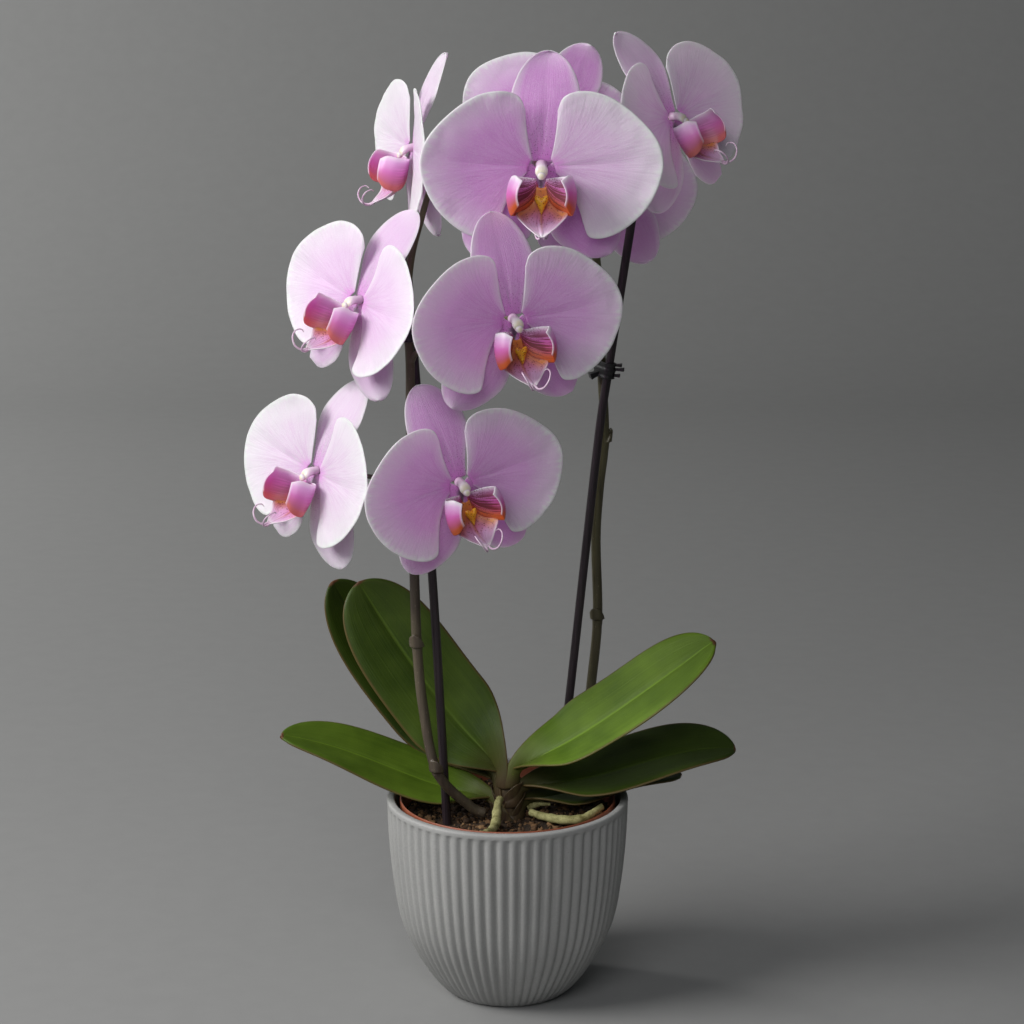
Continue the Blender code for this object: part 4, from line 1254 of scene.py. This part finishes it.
def sepal_place(turn, length, half_width, fold, wave):
    """A blunt oval lobe that bends back, with a shallow groove down its middle."""
    spin = Matrix.Rotation(math.radians(turn), 3, "Z")

    def place(s, t):
        out = math.sin(s * math.pi / 2)
        growth = 0.30 + 0.70 * smooth(0.0, 0.62, out)
        width = half_width * growth * math.sqrt(max(1 - out**3.2, 0.0)) / 0.87
        flat = spin @ Vector((2.0 + (length - 2.0) * out, t * width, 0))
        bend = -(12.0 * flat.length + 3.0 * flat.y) * flat.length / 58**2 + fold * t * t * out
        bend -= 0.6 * ridge(t, 0.10) * smooth(0.05, 0.3, out) * (1 - out)
        bend += 0.6 * math.sin(5 * out + wave + 2 * t) * out**2
        return (flat + Vector((0, 0, bend))) * MM
    return place


def blade_place(s, t):
    """The lip's middle lobe: a narrow neck, two raised corners, and a keeled point."""
    rail = through([(0, -11, 4), (0, -18, 4.5), (0, -24, 7), (0, -28.4, 11), (0, -31.2, 15.5),
                    (0, -33.2, 19.5), (0, -34.8, 22.5)], s)
    half = profile([2.5, 3.6, 8.0, 13.4, 9.2, 5.0, 1.2], s)
    corner = ridge(s - 0.50, 0.13)
    keel = 1.3 * ridge(t, 0.13) * smooth(0.1, 0.4, s) * (1 - smooth(0.85, 1.0, s))
    rise = 0.26 * half * abs(t) ** 1.4 + 1.4 * corner * abs(t) ** 3
    rim = 0.8 * smooth(0.8, 1.0, abs(t)) * smooth(0.5, 0.7, s)
    return Vector((half * t, rail.y + rise, rail.z + keel + rim + 2.4 * corner * t * t)) * MM


def side_place(hand):
    """A side lobe: a rounded ear that stands beside the column and curls in at its front."""
    low = [(1.5, -10, 3.5), (4.5, -19, 4.6), (10.5, -23.8, 8.6), (15.3, -24.6, 14.6), (13.8, -23.0, 20.8),
           (10.8, -19.4, 23.8)]
    high = [(2.5, -6.5, 3.2), (8, -6.0, 4.8), (13.4, -4.6, 9), (15.0, -4.0, 14.2), (12.6, -3.9, 19.4),
            (8.6, -5.4, 22.4)]

    def place(s, t):
        share = 0.5 + 0.5 * t * (1 - 0.14 * smooth(0.72, 1.0, s))
        spot = through(low, s).lerp(through(high, s), share)
        bulge = 2.4 * 4 * share * (1 - share) * smooth(0, 0.4, s)
        flare = 0.5 * smooth(0.75, 1.0, share) * math.sin(9 * s)
        return Vector((hand * (spot.x + bulge), spot.y + flare, spot.z + 0.6 * bulge * s)) * MM
    return place


def callus_place(x, y, z):
    """Two horns side by side at the lip's throat, joined below in a V."""
    high = smooth(-0.2, 1.0, y)
    split = 1.0 + 0.9 * high
    notch = 2.6 * high * ridge(x, 0.34)
    return Vector((2.7 * x * split * (0.42 + 0.58 * smooth(-1.0, 0.3, y)), -18.6 + 5.4 * y - notch,
                   8.6 + 2.3 * z + 1.2 * high - 0.8 * y)) * MM


def column_place(x, y, z):
    """The column: a waxy club that nods forward and is rounded at its end."""
    share = (z + 1) / 2
    ring = math.hypot(x, y)
    centre = Vector((0, 0.6 - 4.4 * share**2, -1.0 + 10.2 * share))
    if ring < 1e-6:
        return centre * MM
    radius = profile([3.2, 2.8, 2.6, 2.9, 3.3, 2.9], share) * min(ring / 0.62, 1.0) ** 0.8
    return (centre + Vector((radius * x / ring, radius * 0.92 * y / ring, 0))) * MM


def cap_place(x, y, z):
    """The anther cap on the column's end, with a small beak below."""
    beak = 1.1 * max(-y, 0) * max(z, 0)
    return Vector((2.3 * x, -4.6 + 2.0 * y - beak, 8.6 + 1.8 * z)) * MM


# the two threads at the lip's tip: curled up in front of it, or tucked under it
TENDRIL_UP = ((0.8, -34.0, 21.8), (1.6, -35.8, 25.2), (3.6, -34.8, 29.0), (6.0, -31.0, 30.8),
              (7.6, -27.2, 29.4), (7.4, -25.6, 26.2), (6.2, -26.6, 24.4))
TENDRIL_UNDER = ((0.8, -34.0, 21.8), (1.4, -35.6, 21.0), (2.6, -35.4, 17.6), (3.4, -33.2, 15.0),
                 (3.6, -30.6, 14.4))
TENDRIL_RADII = (0.00072, 0.00058, 0.00042, 0.00026)
TUCKED = ("flower_1",)
# painted light: flowers whose lip is painted paler where the light falls on it, and by how much its inner and
# outer faces are
LIT_PALE_LIPS = ("flower_4", "flower_5", "flower_6", "flower_7")
LIT_PALE_INSIDE = 0.75
LIT_PALE_OUTSIDE = 0.7


class ORCHID_OT_flowers(bpy.types.Operator):
    """Model the flowers: sepals, petals, column, lip with its throat, and tendrils"""

    bl_idname = "orchid.flowers"
    bl_label = "Flowers"

    def execute(self, context):
        size, colour = context.scene.orchid_sizes, context.scene.orchid_colours
        ground, vein, margin = tuple(colour.petal), tuple(colour.vein), tuple(colour.margin)
        magenta = tuple(colour.lip)
        skins = {}
        # painted light: each grade of paleness makes a lit copy of the petal and sepal finishes
        for share in sorted({share for pair in LIT_PALENESS.values() for share in pair}):
            paled = tuple(Vector(ground).lerp(Vector(margin), share))
            flushed = tuple(Vector(vein).lerp(Vector(ground), 0.75 * share))
            number = round(100 * share)
            skins[share] = (
                petal_finish(f"petal_skin_{number}", paled, flushed, margin, False),
                petal_finish(f"sepal_skin_{number}", tinted(paled, 0.92), flushed,
                             tinted(margin, 0.94), True),
            )
        middle = [lip_blade_finish(), callus_finish()]
        # painted light: a paler copy of the side lobe finishes for the lips that are lit
        lips = {
            False: [lip_inside_finish("lip_inside", 0.0), lip_outside_finish("lip_outside", magenta, 0.0),
                    *middle],
            True: [lip_inside_finish("lip_inside_lit", LIT_PALE_INSIDE),
                   lip_outside_finish("lip_outside_lit", magenta, LIT_PALE_OUTSIDE), *middle],
        }
        wax = column_finish()
        tendril = speckled_finish("tendril_skin", (0.62, 0.38, 0.58), (0.80, 0.66, 0.76), 300.0,
                                  (0.35, 0.5), 0.1)
        front = Vector((0, 0, 1))
        for number, (name, (*pose, _, _)) in enumerate(FLOWERS.items()):
            matrix = flower_matrix(*pose)
            wave = 2.1 * number
            # painted light: each petal gets the finish copy that is as pale as it is lit
            for hand, which, lit_paleness in zip((-1, 1), ("petal_left", "petal_right"), LIT_PALENESS[name]):
                piece = sheet(f"{name}_{which}_skin", petal_place(hand, wave + hand), 30, 56, front)
                wall(piece, size.petal_wall, 0.4)
                subdivide_smooth(piece)
                piece.data.transform(matrix)
                dress(piece, [f"{name}_{which}"], [skins[lit_paleness][0]])
            lobes = []
            for lobe, (turn, length, half, fold) in enumerate(SEPALS):
                lean = LEANS.get(name, 0) if lobe == 0 else 0
                shape = sepal_place(turn + lean, length, half, fold, wave + lobe)
                part = sheet("sepal_part", shape, 24, 20, front)
                wall(part, size.petal_wall, 0.4)
                subdivide_smooth(part)
                lobes.append(part)
            sepals = join(f"{name}_sepals_skin", lobes)
            sepals.data.transform(matrix)
            dress(sepals, [name + "_sepals"], [skins[LIT_PALENESS[name][0]][1]])
            parts = [blob("column_part", column_place, 24, 18), blob("cap_part", cap_place, 20, 12)]
            column = join(f"{name}_column", parts)
            column.data.transform(matrix)
            dress(column, (), [wax])
            self.lip(name, matrix, size.petal_wall, lips[name in LIT_PALE_LIPS], tendril)
        return {"FINISHED"}

    def lip(self, name, matrix, thickness, finishes, tendril):
        parts = []
        for hand in (-1, 1):
            lobe = sheet("lip_side", side_place(hand), 24, 20, Vector((-hand, 0, 0)))
            wall(lobe, thickness, 0.2, 1)
            subdivide_smooth(lobe)
            parts.append((lobe, 0))
        blade = sheet("lip_middle", blade_place, 30, 24, Vector((0, 1, 1)))
        wall(blade, thickness, 0.3)
        subdivide_smooth(blade)
        parts.append((blade, 2))
        parts.append((blob("lip_callus", callus_place, 20, 14), 3))
        for part, first in parts:
            indices = [first + face.material_index for face in part.data.polygons]
            part.data.materials.clear()
            for finish in finishes:
                part.data.materials.append(finish)
            part.data.polygons.foreach_set("material_index", indices)
        piece = join(f"{name}_lip_skin", [part for part, _ in parts])
        piece.data.transform(matrix)
        dress(piece, [name + "_lip"])
        curls = []
        shape = TENDRIL_UNDER if name in TUCKED else TENDRIL_UP
        for hand in (-1, 1):
            route = [Vector((hand * x, y, z)) * MM for x, y, z in shape]
            curls.append(tube("tendril_part", route, TENDRIL_RADII, 40, 8))
        curls = join(f"{name}_tendrils", curls)
        curls.data.transform(matrix)
        dress(curls, (), [tendril])


# ---------------------------------------------------------------- stage
FLOOR_SIZE = 7
FLOOR_PLACE = (0, -0.9, 0)
BACKDROP_HEIGHT = 3.4
BACKDROP_CURVE = 0.9
LIGHTS = (
    # name, place, where it is aimed, width of its disc, power in watts, colour
    ("key", (-1.20, -0.44, 1.14), (0.0, 0.0, 0.30), 0.85, 22.5, (1.0, 0.99, 0.975)),
    ("front", (-0.25, -1.25, 1.10), (0.0, 0.0, 0.52), 0.9, 6.2, (0.98, 0.985, 1.0)),
    ("wash", (-1.7, 1.10, 1.10), (-0.70, 2.40, 0.20), 0.8, 23.0, (1.0, 0.995, 0.98)),
)
AIR_COLOUR = (0.9, 0.95, 1.0, 1.0)
AIR_STRENGTH = 0.085
CAMERA_PLACE = (0.0025, -1.5, 0.6236)
CAMERA_DOWN = 13.14
SENSOR_WIDTH = 36.0
LENS = 99.74


class ORCHID_OT_stage(bpy.types.Operator):
    """Set up the plain floor and backdrop, the soft lights and the camera"""

    bl_idname = "orchid.stage"
    bl_label = "Stage"

    def execute(self, context):
        deselect()
        bpy.ops.mesh.primitive_plane_add(size=FLOOR_SIZE, location=FLOOR_PLACE)
        floor = start("studio_floor")
        settle_place(floor)
        edit_points(floor, lambda v: v.co.y > 1)
        bpy.ops.mesh.extrude_edges_move(TRANSFORM_OT_translate={"value": (0, 0, BACKDROP_HEIGHT)})
        object_mode()
        edit_points(floor, lambda v: v.co.y > 1 and v.co.z < 0.1)
        bpy.ops.mesh.bevel(offset=BACKDROP_CURVE, segments=20, affect="EDGES")
        object_mode()
        bpy.ops.object.shade_smooth()
        floor.data.materials.append(paper_finish())
        for light in LIGHTS:
            self.light(*light)
        world = bpy.data.worlds.new("studio_air")
        context.scene.world = world
        world.use_nodes = True
        air = world.node_tree.nodes["Background"].inputs
        air["Color"].default_value = AIR_COLOUR
        air["Strength"].default_value = AIR_STRENGTH
        context.scene.view_settings.view_transform = "Standard"
        deselect()
        bpy.ops.object.camera_add(location=CAMERA_PLACE, rotation=(math.radians(90 - CAMERA_DOWN), 0, 0))
        camera = bpy.context.object
        camera.data.sensor_width = SENSOR_WIDTH
        camera.data.lens = LENS
        context.scene.camera = camera
        return {"FINISHED"}

    def light(self, name, place, aim, size, power, colour):
        deselect()
        bpy.ops.object.light_add(type="AREA", location=place)
        lamp = bpy.context.object
        lamp.name = "light_" + name
        lamp.rotation_euler = (Vector(aim) - Vector(place)).to_track_quat("-Z", "Y").to_euler()
        lamp.data.shape = "DISK"
        lamp.data.size = size
        lamp.data.energy = power
        lamp.data.color = colour


PIECES = (
    ORCHID_OT_cover_pot, ORCHID_OT_grow_pot, ORCHID_OT_potting_mix, ORCHID_OT_crown, ORCHID_OT_leaves,
    ORCHID_OT_roots, ORCHID_OT_stakes, ORCHID_OT_flower_stems, ORCHID_OT_clips, ORCHID_OT_flowers,
    ORCHID_OT_stage,
)


class ORCHID_PT_panel(bpy.types.Panel):
    """Lists the orchid's pieces, sizes and colours"""

    bl_idname = "ORCHID_PT_panel"
    bl_label = "Potted moth orchid"
    bl_space_type = "VIEW_3D"
    bl_region_type = "UI"
    bl_category = "Orchid"

    def draw(self, context):
        for group in (context.scene.orchid_sizes, context.scene.orchid_colours):
            box = self.layout.box()
            for key in group.__annotations__:
                box.prop(group, key)
        for piece in PIECES:
            self.layout.operator(piece.bl_idname)


CLASSES = (OrchidSizes, OrchidColours, *PIECES, ORCHID_PT_panel)


def register():
    for made in CLASSES:
        bpy.utils.register_class(made)
    bpy.types.Scene.orchid_sizes = PointerProperty(type=OrchidSizes)
    bpy.types.Scene.orchid_colours = PointerProperty(type=OrchidColours)


def unregister():
    del bpy.types.Scene.orchid_sizes
    del bpy.types.Scene.orchid_colours
    for made in reversed(CLASSES):
        bpy.utils.unregister_class(made)


def main():
    register()
    for piece in PIECES:
        group, name = piece.bl_idname.split(".")
        getattr(getattr(bpy.ops, group), name)()


if __name__ == "__main__":
    main()
